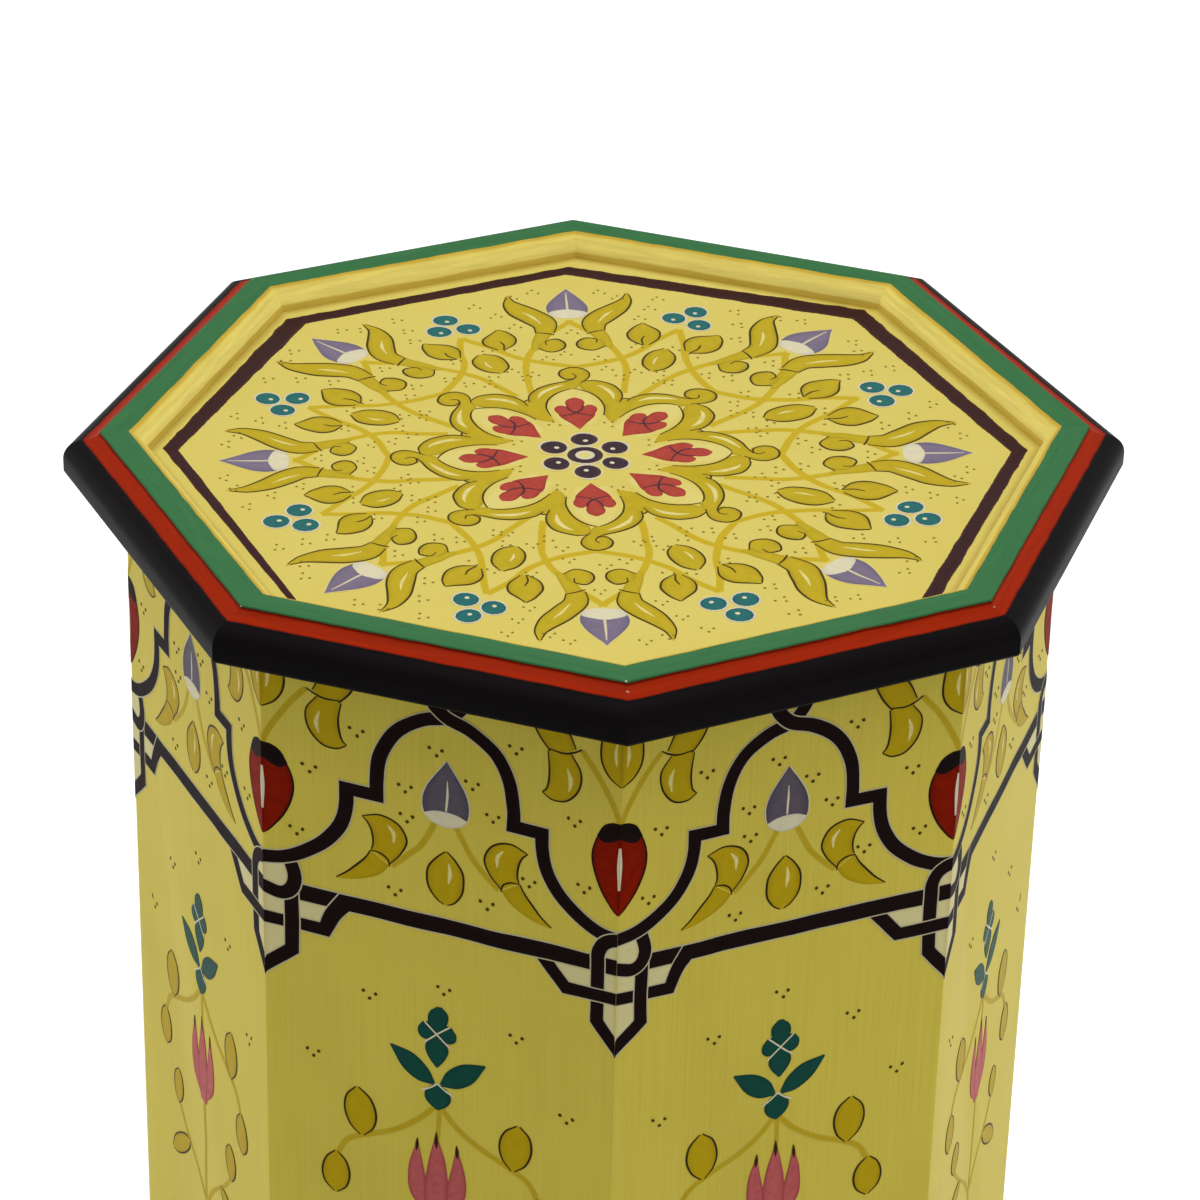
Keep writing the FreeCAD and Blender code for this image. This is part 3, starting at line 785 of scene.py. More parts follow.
def line_slips(points):
    """The line's points, moved from a regular octagon to where the brush ran on each side."""
    x, y = points[:, 0] / MM, points[:, 1] / MM
    side = np.round(np.arctan2(x, -y) / math.radians(TURN)).astype(int)
    a = np.radians(TURN * side)
    outwards, beside = x * np.sin(a) - y * np.cos(a), x * np.cos(a) + y * np.sin(a)
    share = (beside / outwards / MITRE)[:, None]
    width = ((outwards - LINE_INNER) / (LINE_OUTER - LINE_INNER))[:, None]
    inner, outer = (
        (corners[(side - 1) % SIDES] * (1 - share) + corners[side % SIDES] * (1 + share)) / 2
        for corners in (line_corners(0), line_corners(1))
    )
    moved = points.copy()
    moved[:, :2] = (inner * (1 - width) + outer * width) * MM
    return moved


# Thin dark brown oil paint, a little see-through at its edges
line_paint = brush_paint("dark brown line paint", LINE_BROWN, LINE_EDGE, 0.3, 6.0)
brown_line = Coat(on_field, "brown_line", line_paint)
rng = np.random.default_rng(HAND_SEED)
stations = np.linspace(-1, 1, LINE_STATIONS)
fade_ends = np.clip((1 - abs(stations)) * RAGGED_ENDS, 0, 1)
edges = []
for far in (LINE_INNER, LINE_OUTER):
    rough = rng.normal(0, RAGGED, LINE_STATIONS + RAGGED_BLUR - 1)
    ragged = np.convolve(rough, np.ones(RAGGED_BLUR) / RAGGED_BLUR, "valid")
    edges.append(np.column_stack([stations * far * MITRE, far + ragged * fade_ends]))
brown_line.film(*edges)
lay(brown_line, "top_paint", line_slips)

# Medallion on the field: a rosette of eight petals with red hearts in a ring of acanthus, gold stems in a
# star, then leaves, lilac buds at the corners and clusters of three teal berries, all brushed on freehand.
HALF_TURN = TURN / 2
FRONT_CORNER = HALF_TURN - 90
RIGHT_FLAT = TURN - 90
BUD_RING = 140.0
BUD_SLIPS = (
    (5.9, -4.8), (4.3, -6.4), (1.5, -4.5), (1.3, 2.3), (-1.6, 6.3), (3.0, 9.6), (0.6, 8.0), (8.6, 4.1),
)
BERRY_RING = 134.0
BERRY_SLIPS = (
    (4.2, -7.5), (3.4, -6.2), (1.2, -0.7), (-2.6, 4.3), (-6.3, 10.1), (3.6, 9.2), (3.0, 6.1), (7.2, 0.4),
)
ROSETTE_RING = 50.0
ROSETTE_SLIP = (-3.1, -6.4)
SLIP_REACH = 25.0
ROSETTE_TWIST = 2.3
FIELD_HAND = 0.7
STEM_HALF = 1.5
MUSTARD = "#C4AB24"
LILAC_CHALK = "#D3CAB8"

# Brush paints of the medallion: strong opaque colours, slightly uneven, each with its own tone at the edge.
# After the name come the colour, the edge tone, how far the paint thins towards that, and its mottle's size.
field_coats = [
    Coat(on_field, f"field_{name}", brush_paint(*paint))
    for name, *paint in (
        ("petals", "pale yellow petal paint", "#E3D37C", FIELD_YELLOW, 0.35, 9.0),
        ("stems", "thin gold stem paint", "#CBAE22", "#CDB232", 0.5, 3.0),
        ("leaves", "mustard leaf paint", MUSTARD, "#AF971E", 0.3, 5.0),
        ("gleams", "pale gleam paint", "#E9DD92", MUSTARD, 0.4, 3.0),
        ("chalk", "chalk white paint", "#E2DAB4", LILAC_CHALK, 0.5, 3.0),
        ("lilac_chalk", "lilac white paint", LILAC_CHALK, FIELD_PALE, 0.4, 3.0),
        ("purple", "dusty purple paint", "#807389", "#70657A", 0.5, 4.0),
        ("teal", "teal paint", "#296C6A", "#205C5A", 0.4, 3.0),
        ("hearts", "crimson heart paint", "#B3463A", "#9D362C", 0.5, 3.0),
        ("heart_lines", "aubergine paint", "#38282F", "#4A373C", 0.2, 3.0),
        ("outlines", "brown outline paint", "#40330F", "#51410F", 0.4, 3.0),
        ("triplets", "olive dot paint", "#86762A", "#998938", 0.3, 3.0),
    )
]
petals, stems, leaves, gleams, chalk, lilac_chalk = field_coats[:6]
purple, teal, hearts, heart_lines, outlines, triplets = field_coats[6:]


def mirrored(points, m):
    """Points with their distance across taken to the left (-1) or the right (1) half."""
    return np.asarray(points, float) * (m, 1)


def triplet(coat, across, along, spacing=2.3, radius=0.6):
    """Three dots of the brush's tip, two and then one."""
    for dx, dy in ((-spacing, -1.3), (spacing, -1.0), (0.3, 1.7)):
        coat.dot((across + dx, along + dy), radius, 3, apart=True)


def outline(coat, *edges, first=0.0, last=1.0, half=0.45):
    """A thin line along part of each edge, pressed harder in its middle."""
    for edge in edges:
        part = edge[round(first * (len(edge) - 1)) : round(last * (len(edge) - 1)) + 1]
        press = 0.6 + 0.4 * np.sin(np.linspace(0, math.pi, len(part)))
        coat.stroke(part, half * press)


def field_slips(points):
    """Points on the field moved by the painter's setting-out errors: how far outwards and anticlockwise each
    bud and berry cluster lies from its true place, from the front corner round, blended in between."""
    anchors = [(0, 0)]
    moves = [ROSETTE_SLIP]
    for slips, first, ring in ((BUD_SLIPS, FRONT_CORNER, BUD_RING), (BERRY_SLIPS, RIGHT_FLAT, BERRY_RING)):
        for k, (outwards, sideways) in enumerate(slips):
            way = math.radians(first + TURN * k)
            x, y = math.cos(way), math.sin(way)
            anchors += [(ring * x, ring * y), (ROSETTE_RING * x, ROSETTE_RING * y)]
            moves += [(outwards * x - sideways * y, outwards * y + sideways * x), ROSETTE_SLIP]
    far = ((points[:, None, :2] / MM - np.array(anchors)) ** 2).sum(2)
    weight = 1 / (far + SLIP_REACH**2) ** 2
    moved = points.copy()
    moved[:, :2] += MM * weight @ np.array(moves) / weight.sum(1, keepdims=True)
    return moved


# star of gold stems, from the corner buds to the rosette and in arches between the flats
for m in (-1, 1):
    to_rosette = [(0, 124), (1.5, 121), (9, 112), (17, 97.6), (21.3, 82), (20.5, 68), (19.5, 56)]
    stems.stroke(smooth(mirrored(to_rosette, m)), STEM_HALF)
    arch = [(46.7, 112.7), (36, 103), (27, 93.5), (14.5, 85.5), (0, 80.5)]
    stems.stroke(smooth(mirrored(arch, m)), STEM_HALF)

# acanthus ring: a wedge between two petals, a crescent, and a longer crescent that ends in a curl
wedge = turned([(0, 33), (0, 36), (0, 40), (0, 46), (0, 50), (0, 54)], HALF_TURN)
leaves.leaf(wedge, [0.8, 3.8, 6.2, 8.5, 8, 3])
outline(outlines, smooth(turned([(-6, 49.5), (-3, 53.2), (0, 54.5), (3, 53.2), (6, 49.5)], HALF_TURN)))
outer = smooth([(-17, 47), (-18.6, 53), (-17.6, 59), (-14.6, 64.4), (-8, 68), (-2, 67.6)])
inner = smooth([(-6, 45), (-5.5, 50.5), (-4.5, 55), (-2.5, 58.5), (-1, 61.5), (-0.5, 65)])
leaves.film(outer, inner)
outline(outlines, outer)
gleams.leaf([(-14.6, 50.5), (-14, 56), (-11, 61.5), (-8, 64)], [0.3, 1.2, 1.0, 0.2])
outer = smooth([(20.4, 48), (20.4, 54), (17, 60.5), (11.5, 65), (5.5, 67.5), (1.5, 69.5)])
inner = smooth([(7, 46), (6, 51), (4.5, 55.5), (2, 59), (0, 62.5), (-2.5, 67)])
leaves.film(inner, outer)
leaves.dot((1.2, 73.6), 6.5, 8)
outline(outlines, outer)
curl = [(-1, 66), (-4.6, 70.5), (-5.4, 75), (-2.8, 79), (2, 80), (6.6, 77.6)]
curl += [(7.8, 73.4), (5.6, 69.8), (2, 69.8), (0.6, 72.2), (2.2, 74.4)]
outline(outlines, smooth(curl))
gleams.leaf([(16.6, 52), (14.6, 57.5), (10, 62), (6, 64.5)], [0.3, 1.2, 1.0, 0.2])

# petals and hearts
petal = turned([(0, s) for s in (27, 33, 38, 43, 48, 52, 55.5, 58, 60, 61)], ROSETTE_TWIST)
outline(outlines, *petals.leaf(petal, [8, 10.3, 11.4, 11.8, 11.2, 9.9, 7.8, 5.4, 2.6, 0.3]), first=0.17)
heart = turned([(0, s) for s in (23.8, 29, 34, 38, 41, 44, 47.5, 50.5, 52.6)], ROSETTE_TWIST)
hearts.leaf(heart, [0.1, 3.4, 6.8, 7.6, 5.5, 3.6, 4.0, 3.2, 0.6])
for m in (-1, 1):
    lobe = mirrored([(2.5, 35), (4.6, 39.5), (5.7, 43), (6.1, 45.4)], m)
    hearts.leaf(turned(lobe, ROSETTE_TWIST), [2.3, 3.6, 3.1, 0.9])
for m in (-1, 1):
    cross = mirrored([(-6.4, 35.5), (-1.5, 37.5), (2.4, 41), (3.4, 45.5)], m)
    outline(heart_lines, smooth(turned(cross, ROSETTE_TWIST)))

# leaves on both sides of each corner bud
for m in (-1, 1):
    tail = [
        (10.9, 112.8), (11, 121.2), (15.4, 128), (20.9, 134.9), (24.9, 141.8), (25.8, 146.7), (25.9, 151.1),
    ]
    outline(outlines, *leaves.leaf(mirrored(tail, m), [3.8, 5.2, 5.6, 4.9, 3, 1.5, 0.1]), last=0.94)
    gleams.leaf(mirrored([(12.5, 121.5), (16, 128), (19.8, 133)], m), [0.2, 0.8, 0.2])
    leaves.leaf(mirrored([(16.5, 97), (14.8, 102), (13, 107.5), (11.2, 114)], m), [0.8, 2.4, 3.2, 3.4])
    outline(outlines, smooth(mirrored([(14.5, 114), (10, 112.5), (7, 111)], m)))
    leaves.dot((8.5 * m, 101), 5.7)
    spiral = [(14.5, 99), (9, 95.3), (3.5, 98), (2.6, 103), (6, 107), (10.5, 105.5), (10.5, 102)]
    outline(outlines, smooth(mirrored(spiral, m)))

# corner bud
bud = [(0, s) for s in (130, 133, 137, 142, 148, 152, 154.6)]
lilac_chalk.leaf(bud, [9.2, 10, 10.1, 8.5, 4.9, 2.2, 0.6])
purple.leaf(bud, [8.5, 9.3, 9.4, 7.8, 4.2, 1.6, 0.1])
chalk.leaf([(0, s) for s in (126, 127.5, 130, 132.5, 134.5)], [4.5, 7, 8.7, 7.5, 2])
lilac_chalk.leaf([(0, 134), (0, 142), (0, 151)], [0.6, 0.5, 0.2])

# bud, leaf pair and three berries towards each flat
oval = turned([(0, q) for q in (82.5, 86.5, 92.5, 98.5, 103)], HALF_TURN)
outline(outlines, *leaves.leaf(oval, [0.8, 5, 6.6, 5.4, 0.8]))
gleams.leaf(turned([(1.2, 88.5), (1.8, 92), (1.4, 95.5)], HALF_TURN), [0.2, 0.7, 0.2])
for m in (-1, 1):
    pair = mirrored([(9.5, 103.5), (11.5, 108), (13.8, 113.5), (16, 118.5), (17.2, 122.5)], m)
    outline(outlines, *leaves.leaf(turned(pair, HALF_TURN), [1.4, 6.2, 7, 4, 0.2]))
    fold = mirrored([(10.5, 103), (12.5, 107), (12.5, 111)], m)
    outline(outlines, smooth(turned(fold, HALF_TURN)))
for spot in ((-6.3, 129.5), (6.3, 131.5), (-1, 141)):
    middle = turned([spot], HALF_TURN)[0]
    chalk.dot(middle, 6.0)
    teal.dot(middle, 5.2)
    chalk.dot(middle + (-0.6, -1.2), 1.0, 4)

for spot in (
    (-13.5, 78.9), (18.4, 74.5), (3.2, 93.2), (-30.2, 124.6), (23.3, 121.2), (-39.5, 144.3), (-14.5, 151.6),
    (14.5, 152.1), (40.5, 142.8), (-35, 66), (37, 64), (11.5, 28.5), (-11, 88), (11.5, 89), (-1, 113),
    (-25, 76), (27, 78), (-27, 98.5), (27, 99.5), (-43, 95), (-35, 134), (31, 133), (-22, 146), (24, 148),
):
    triplet(triplets, *spot)
field_settings = {"slips": field_slips, "first_angle": math.radians(HALF_TURN), "hand_error": FIELD_HAND * MM}
for coat in field_coats:
    lay(coat, "top_paint", **field_settings)

# middle of the rosette: six dark berries round a ringed one
field_settings["first_angle"] = math.radians(HALF_TURN + 180)
for name, like, count, middle, radius, steps in (
    ("halos", lilac_chalk, 6, (0, 14.2), 6.8, 8),
    ("berries", heart_lines, 6, (0, 14.2), 5.5, 8),
    ("specks", chalk, 6, (-0.5, 13.0), 1.1, 4),
    ("eye_halo", lilac_chalk, 1, (0, 0), 8.5, 10),
    ("eye_berry", heart_lines, 1, (0, 0), 7.2, 10),
    ("eye_ring", chalk, 1, (0, 0), 3.9, 8),
    ("eye", petals, 1, (0, 0), 2.2, 6),
):
    dabs = Coat(on_field, f"rosette_{name}", like.paint)
    dabs.dot(middle, radius, steps)
    lay(dabs, "top_paint", count=count, **field_settings)

# Frieze on the side panels: a dark interlaced strand edged in pale grey, in a cusped arch on every face and
# knotted at every corner, with buds and leaves in the arch and in the spandrels. Brush paint, freehand.
TABLE_TOP = RIM_TOP
STRAND_HALF = 2.9
BAND_HALF = 3.7
GREY_MARGIN = 0.55
DARK_GLOSS = 0.012
SIDE_STEM_HALF = 1.3
PANEL_HAND = 0.5
CORNER = BODY * MITRE
CORNER_CLEAR = 4.5
BAND_DROP = 134.8
SHOULDER_DROP = 150.0
ARCH_TOE = 121.8
POINT_DROP = 173.0
PANEL_SHIFTS = (3.0, -2.3, -1.8, 1.7, -2.5, 0.8, 2.2, -1.2)
PANEL_DROPS = (-1.6, 0.4, 1.8, 3.6, 1.5, -0.8, -1.9, 0.5, 1.6, 1.0, -0.7, -1.6, 0.6, -0.9, -2.4, -3.4)
SPRIG_DROPS = (-1.8, 2.5, 12.0, 1.0, -2.0, 3.0, 0.5, 8.0)
SPRIG_FADE = (172, 175.5, 280, 356)
KNOT_CLEAR = (0.75, 0.85)
SHIFT_FADE = (150, 185)
DROP_FADE = (190, 300)


def on_panel(across, below, level):
    """A point on side 1's outer face: across from its middle line, and below the table top."""
    return (max(-CORNER, min(CORNER, across)) * MM, -(BODY + level) * MM, (TABLE_TOP - below) * MM)


def panel_slips(points):
    """Points on the panels moved by the painter's setting-out errors: how far right each face's pattern lies,
    how far down at each face's middle and right-hand corner, and how far down each face's sprig and tulip
    lie, between the knots. They fade out towards the foot."""
    face = np.round((np.degrees(np.arctan2(points[:, 1], points[:, 0])) + 90) / TURN).astype(int)
    normal = np.radians(face * TURN - 90)
    right = np.column_stack([-np.sin(normal), np.cos(normal)])
    across = (points[:, :2] * right).sum(1) / (CORNER * MM)
    below = TABLE_TOP - points[:, 2] / MM
    shift = np.array(PANEL_SHIFTS)[face % SIDES] * (1 - across**2) * np.interp(below, SHIFT_FADE, (MM, 0))
    drop = np.interp(2 * face + across, np.arange(2 * SIDES), PANEL_DROPS, period=2 * SIDES)
    drop = drop * np.interp(below, DROP_FADE, (MM, 0))
    between = np.interp(abs(across), KNOT_CLEAR, (1, 0)) * np.interp(below, SPRIG_FADE, (0, MM, MM, 0))
    drop += np.array(SPRIG_DROPS)[face % SIDES] * between
    moved = points.copy()
    moved[:, :2] += right * shift[:, None]
    moved[:, 2] = np.clip(moved[:, 2] - drop, 0, PANEL_TOP * MM)
    return moved


def path(*runs):
    """One line of several freehand runs that meet at sharp corners, with no other points near those."""
    line = []
    for i, run in enumerate(runs):
        points = smooth(run)
        from_start = np.linalg.norm(points - points[0], axis=1)
        from_stop = np.linalg.norm(points - points[-1], axis=1)
        keep = ((i == 0) | (from_start > CORNER_CLEAR)) & ((i == len(runs) - 1) | (from_stop > CORNER_CLEAR))
        keep[-1] = True
        line.append(points[keep])
    return np.vstack(line)


def from_corner(points, m):
    """Points given by their distance in from the left (-1) or the right (1) corner."""
    return mirrored(np.asarray(points, float) * (-1, 1) + (CORNER, 0), m)


# Brush paints of the panels: thicker and darker than those of the field; the strand and the red buds are dull
panel_coats = [
    Coat(on_panel, f"panel_{name}", brush_paint(*paint))
    for name, *paint in (
        ("creams", "cream infill paint", "#DDD49C", "#D6C983", 0.3, 3.0),
        ("greys", "pale grey ground paint", "#B9B49C", "#C3BC97", 0.3, 3.0),
        ("strands", "near black strand paint", "#180E0D", "#1F1414", 0.5, 8.0, DARK_GLOSS),
        ("stems", "thin gold stem paint on the panels", "#BFA41C", "#C8B03A", 0.5, 3.0),
        ("leaves", "mustard leaf paint on the panels", "#BFA30E", "#AC920F", 0.3, 5.0),
        ("purple", "slate purple paint", "#5F5763", "#504853", 0.5, 4.0),
        ("red", "blood red bud paint", "#8A1B05", "#6E1206", 0.5, 5.0, DARK_GLOSS),
        ("black", "black cap paint", "#17100F", "#241715", 0.2, 3.0, DARK_GLOSS),
        ("green", "deep green sprig paint", "#0D483E", "#0A3B33", 0.4, 3.0),
        ("pink", "rose tulip paint", "#C0605F", "#A4474C", 0.5, 3.0),
        ("outlines", "dark brown outline paint on the panels", "#2A1E0A", "#45350F", 0.3, 3.0),
        ("triplets", "olive brown dot paint on the panels", "#4A3C10", "#5C4C16", 0.3, 3.0),
    )
]
creams, greys, strands, side_stems, side_leaves, side_purple = panel_coats[:6]
side_red, side_black, side_green, side_pink, side_outlines, side_triplets = panel_coats[6:]
side_gleams = Coat(on_panel, "panel_gleams", gleams.paint)
side_chalk = Coat(on_panel, "panel_chalk", chalk.paint)


def strand(line, half=STRAND_HALF):
    """A dark strand on its wider pale grey ground."""
    greys.stroke(line, half + GREY_MARGIN)
    strands.stroke(line, half)


def half_film(coat, edge, m):
    """A film from an edge to the panel's corner, where it meets its other half on the next panel."""
    coat.film(edge, np.column_stack([np.full(len(edge), m * CORNER), edge[:, 1]]))


# buds, leaves and stems first, the strand over them
for m in (-1, 1):
    side_stems.stroke(smooth(mirrored([(4, 87), (10, 99), (16, 106), (22.5, 112)], m)), SIDE_STEM_HALF)
    side_stems.stroke(smooth(from_corner([(0, 69), (4, 59.8), (10.4, 49), (17.5, 40)], m)), SIDE_STEM_HALF)
    # crescent and tail leaf inside the arch
    full = [(34.4, 92.1), (27.1, 89.7), (19.4, 92.3), (16.1, 98.9), (18.5, 105.5), (23.4, 111.4)]
    hollow = [(34.4, 92.2), (32.3, 94.3), (30.8, 97.3), (30.1, 101), (30.2, 104.1), (31, 106.4)]
    full, hollow = smooth(mirrored(full, m)), smooth(mirrored(hollow, m))
    side_leaves.film(hollow, full)
    outline(side_outlines, full, hollow)
    side_gleams.leaf(mirrored([(24, 93.5), (21.5, 97), (21.5, 101.5)], m), [0.3, 1.0, 0.3])
    tail_high = smooth(mirrored([(31.3, 107), (33.6, 111), (37, 115.2), (41, 119.8), (45.4, 123.6)], m))
    tail_low = smooth(mirrored([(23.6, 112.2), (27, 116.6), (32, 120), (38, 122.6), (45.4, 124)], m))
    side_leaves.film(tail_high, tail_low)
    outline(side_outlines, tail_high)
    outline(side_outlines, smooth(mirrored([(23.4, 112.6), (24.2, 109.4), (27.2, 107.3), (31.2, 106.9)], m)))
    # leaves of the spandrel
    horn = from_corner([(24.5, 42.8), (29.5, 35), (34.5, 29), (40, 24)], m)
    outline(side_outlines, *side_leaves.leaf(horn, [5.2, 6.2, 4.6, 0.3]))
    full = [(21.9, 42.7), (17.7, 49.5), (18.7, 57.6), (23.6, 63.5), (29.6, 64.4), (34, 62)]
    hollow = [(32, 43), (31.2, 49), (31, 53), (31.4, 57), (32.3, 60), (34, 61.9)]
    full, hollow = smooth(from_corner(full, m)), smooth(from_corner(hollow, m))
    side_leaves.film(hollow, full)
    outline(side_outlines, full, hollow)
    side_gleams.leaf(from_corner([(23.4, 49), (22, 54), (22.8, 59)], m), [0.3, 1.1, 0.3])
    outline(side_outlines, smooth(from_corner([(17.5, 39.5), (21, 41.6), (25.5, 42.8), (32, 42)], m)))
    # half of the mustard bud that hangs over each corner
    half_bud = smooth(from_corner([(4, 20), (7.5, 27), (9.2, 35), (8.8, 42.5), (5.5, 48.3), (0.3, 52)], m))
    half_film(side_leaves, half_bud, m)
    outline(side_outlines, half_bud)
    side_gleams.leaf(from_corner([(2.4, 33), (2.9, 38), (2.3, 43)], m), [0.3, 0.9, 0.3])
    # half of the red bud, with its black cap and a white painted highlight down the corner edge, that hangs
    # over each corner
    half_red = [(3.5, 70.2), (9, 75), (12, 83), (11.6, 91), (8.2, 100), (3.2, 107.5), (0.3, 110.5)]
    half_red = smooth(from_corner(half_red, m))
    half_film(side_red, half_red, m)
    cap_top = smooth(from_corner([(0, 68.4), (4, 68.9), (7.6, 71.2), (10.2, 76)], m))
    cap_low = smooth(from_corner([(0, 75.5), (4, 77.8), (7.6, 78.4), (10.2, 76.4)], m))
    side_black.film(cap_top, cap_low)
    outline(side_black, half_red, first=0.15, half=0.4)
    # painted highlight: a white chalk line down the corner, where the corner edge catches the light
    side_chalk.leaf(from_corner([(0.2, 79.5), (0.3, 88), (0.2, 99)], m), [0.3, 0.8, 0.3])

# lilac bud and mustard oval on the panel's middle line
bud = [(0, d) for d in (58.8, 62, 66, 70.5, 75, 79, 83, 86)]
bud_halves = np.array([0.1, 2.2, 5, 7.6, 9.1, 9.4, 8.8, 7])
side_chalk.leaf(bud, bud_halves + 0.5)
side_purple.leaf(bud, bud_halves)
side_chalk.film(
    smooth([(-8.6, 83.6), (-4.5, 81.9), (0, 81.4), (4.5, 81.9), (8.6, 83.6)]),
    smooth([(-8.6, 83.8), (-5.5, 87.2), (0, 88.6), (5.5, 87.2), (8.6, 83.8)]),
)
side_chalk.leaf([(0.3, 67.5), (0.5, 74), (0.2, 81)], [0.15, 0.5, 0.4])
oval = [(0, d) for d in (100.2, 103.6, 108.5, 113.5, 118.3, 122.6, 124.6)]
outline(side_outlines, *side_leaves.leaf(oval, [0.3, 3.7, 6.8, 7.5, 6.8, 3.9, 0.8]))
side_gleams.leaf([(1.2, 105.5), (1.8, 110.5), (1.2, 115)], [0.3, 1.0, 0.3])

# cream between the strands of each knot
for m in (-1, 1):
    creams.film(
        from_corner([(10, 123), (10, 150), (10, 163), (0.3, POINT_DROP - 1)], m),
        from_corner([(0, 123), (0, 150), (0, 163), (0, POINT_DROP - 0.8)], m),
    )
    upper, lower = [(44, 138.3), (53, 138.3), (64, 138.3)], [(49.5, 147.3), (55, 147.3), (64, 147.3)]
    creams.film(mirrored(upper, m), mirrored(lower, m))

# the strand, from the lowest crossing to the highest: on the right of each face it goes under the shoulder
# and over the band, on the left the other way about
point = [(66.4, 162), (70, 166.8), (CORNER + 3, POINT_DROP + 3)]
strand(path([(66.2, 146), (66.3, 154), (66.4, 162)], point))
shoulder = [(52.3, SHOULDER_DROP), (CORNER + 2, SHOULDER_DROP)]
strand(path([(40, 135.5), (46, 142.6), (52.3, SHOULDER_DROP)], shoulder))
strand(np.array([(-64, BAND_DROP), (-52, BAND_DROP), (-40, BAND_DROP)]), BAND_HALF)
band = path(
    [(CORNER + 2, BAND_DROP), (30, BAND_DROP), (0, BAND_DROP), (-30, BAND_DROP), (-42, BAND_DROP)],
    [(-42, BAND_DROP), (-46.5, 141.8), (-50, SHOULDER_DROP)],
    [(-50, SHOULDER_DROP), (-CORNER - 2, SHOULDER_DROP)],
)
strand(band, np.interp(band[:, 0], (-50, -42), (STRAND_HALF, BAND_HALF)))
point = [(-63.2, 163), (-67, 166.5), (-CORNER - 3, POINT_DROP + 3)]
strand(path([(-63.2, 133), (-63.2, 150), (-63.2, 163)], point))
hook = [(-66, 117.5), (-63.2, 122.5), (-61.8, 129), (-63.5, 134.5), (-68, 137), (-CORNER - 1, 135.2)]
strand(smooth(hook))
for m in (-1, 1):
    crown = [(-8.5, 20), (-8, 26), (-5.8, 33), (0, 39), (10.3, 42.6), (20.6, 50.3), (26.5, 61.3)]
    toe = [(42, 95), (44.8, 101.5), (50, 108.6), (57, 114.6), (64, 118.8), (70, 120.9)]
    cusp_in, cusp_out, tip = (28.5, 81.1), (40.8, 81.1), (CORNER + 4, ARCH_TOE)
    arch = ([*crown, (28.5, 73.3), cusp_in], [cusp_in, cusp_out], [cusp_out, (40.8, 88), *toe, tip])
    strand(path(*(mirrored(run, m) for run in arch)))
hook = [(66.2, 146.2), (66.2, 135), (66.3, 129.5), (68.2, 125.2), (71.5, 122.8), (CORNER + 1, ARCH_TOE)]
strand(smooth(hook))

for spot in (
    (-36.5, 54.5), (-17, 75), (-56, 76), (-21.5, 123.5), (-61, 106), (10.5, 66.5), (54.5, 72.5), (59, 102),
    (17.5, 120), (35, 105), (29, 46), (19.5, 79.5), (-4.5, 55.5), (-16, 88.2), (1, 166), (-30, 178),
    (33, 182), (-54, 212), (55, 215),
):
    triplet(side_triplets, *spot, spacing=2.6, radius=0.8)

# Lower part of the panels: a green sprig over a pink tulip between gold stems with mustard buds, and a dark
# strand round the arch at the foot, painted as the frieze is.
VEIN_HALF = 0.35
BORDER_MARGIN = 7.0

side_stems.stroke(smooth([(0, 222), (0.6, 231), (0, 246)]), 0.9)
side_stems.stroke(smooth([(0, 278), (0.8, 302), (0, 332), (0.6, 356)]), 1.0)
for m in (-1, 1):
    arm = [(1, 224), (8, 232), (18, 239.5), (30, 245.5), (39, 251), (44, 260)]
    side_stems.stroke(smooth(mirrored(arm, m)), 1.2)
    side_stems.stroke(smooth(mirrored([(0, 340), (9, 326), (22, 313), (31, 301)], m)), 1.0)
    for foot, tip, half in (
        ((33, 247), (34.5, 224), 6.8),
        ((44, 258), (44.5, 278), 6.2),
        ((31, 303), (30, 283), 5.4),
        ((18, 316), (40, 336), 5),
    ):
        first, last = np.array(foot, float), np.array(tip, float)
        spine = mirrored([first + (last - first) * t for t in (0, 0.2, 0.5, 0.8, 1)], m)
        outline(side_outlines, *side_leaves.leaf(spine, half * np.array((0.1, 0.72, 1, 0.78, 0.1))))
    bead = [(0.6, 189.4), (2.6, 188.9), (5, 188.4), (7.2, 188), (8.4, 187.7)]
    side_green.leaf(mirrored(bead, m), [0.6, 3.4, 4.2, 3.2, 0.8])
    side_green.leaf(mirrored([(1.5, 213), (6.5, 209.5), (13, 204.5), (20.5, 199)], m), [0.8, 4.2, 4.4, 0.4])
    side_pink.leaf(mirrored([(2, 278), (7.5, 268), (9.2, 256), (8.6, 243)], m), [1, 4, 3.2, 0.2])
    side_outlines.leaf(mirrored([(9, 248), (8.8, 245), (8.6, 241.5)], m), [0.2, 0.8, 0.2])
for drops, halves in (
    ((176, 178.8, 182, 185.3, 188.6), (1.0, 3.8, 4.4, 3.5, 0.8)),
    ((190.3, 193.3, 196.8, 200.8, 204.8), (0.6, 4, 5, 3.4, 0.4)),
    ((213, 216, 219.5, 222.8, 225.5), (0.8, 4.4, 5.5, 4, 0.6)),
):
    side_green.leaf([(0, drop) for drop in drops], halves)
side_pink.leaf([(0, 280), (0, 268), (0, 254), (0, 238)], [3, 5.2, 4.2, 0.2])
side_outlines.leaf([(0, 245), (0, 241), (0, 236.5)], [0.2, 0.9, 0.2])
for m in (-1, 1):
    side_chalk.stroke(smooth(mirrored([(-5.8, 194.6), (0, 189.4), (5.6, 184.3)], m)), VEIN_HALF)
    side_chalk.stroke(smooth(mirrored([(0, 212.8), (3.5, 215.6), (6.8, 217.5)], m)), VEIN_HALF)
half_border = [(x, TABLE_TOP - z) for x, z in arch_line(BORDER_MARGIN)]
border = path(
    [(-x, d) for x, d in half_border[:2]],
    [(-x, d) for x, d in half_border[1:3]],
    [(-x, d) for x, d in half_border[2:]] + half_border[-2:1:-1],
    half_border[2:0:-1],
    half_border[1::-1],
)
strand(border)
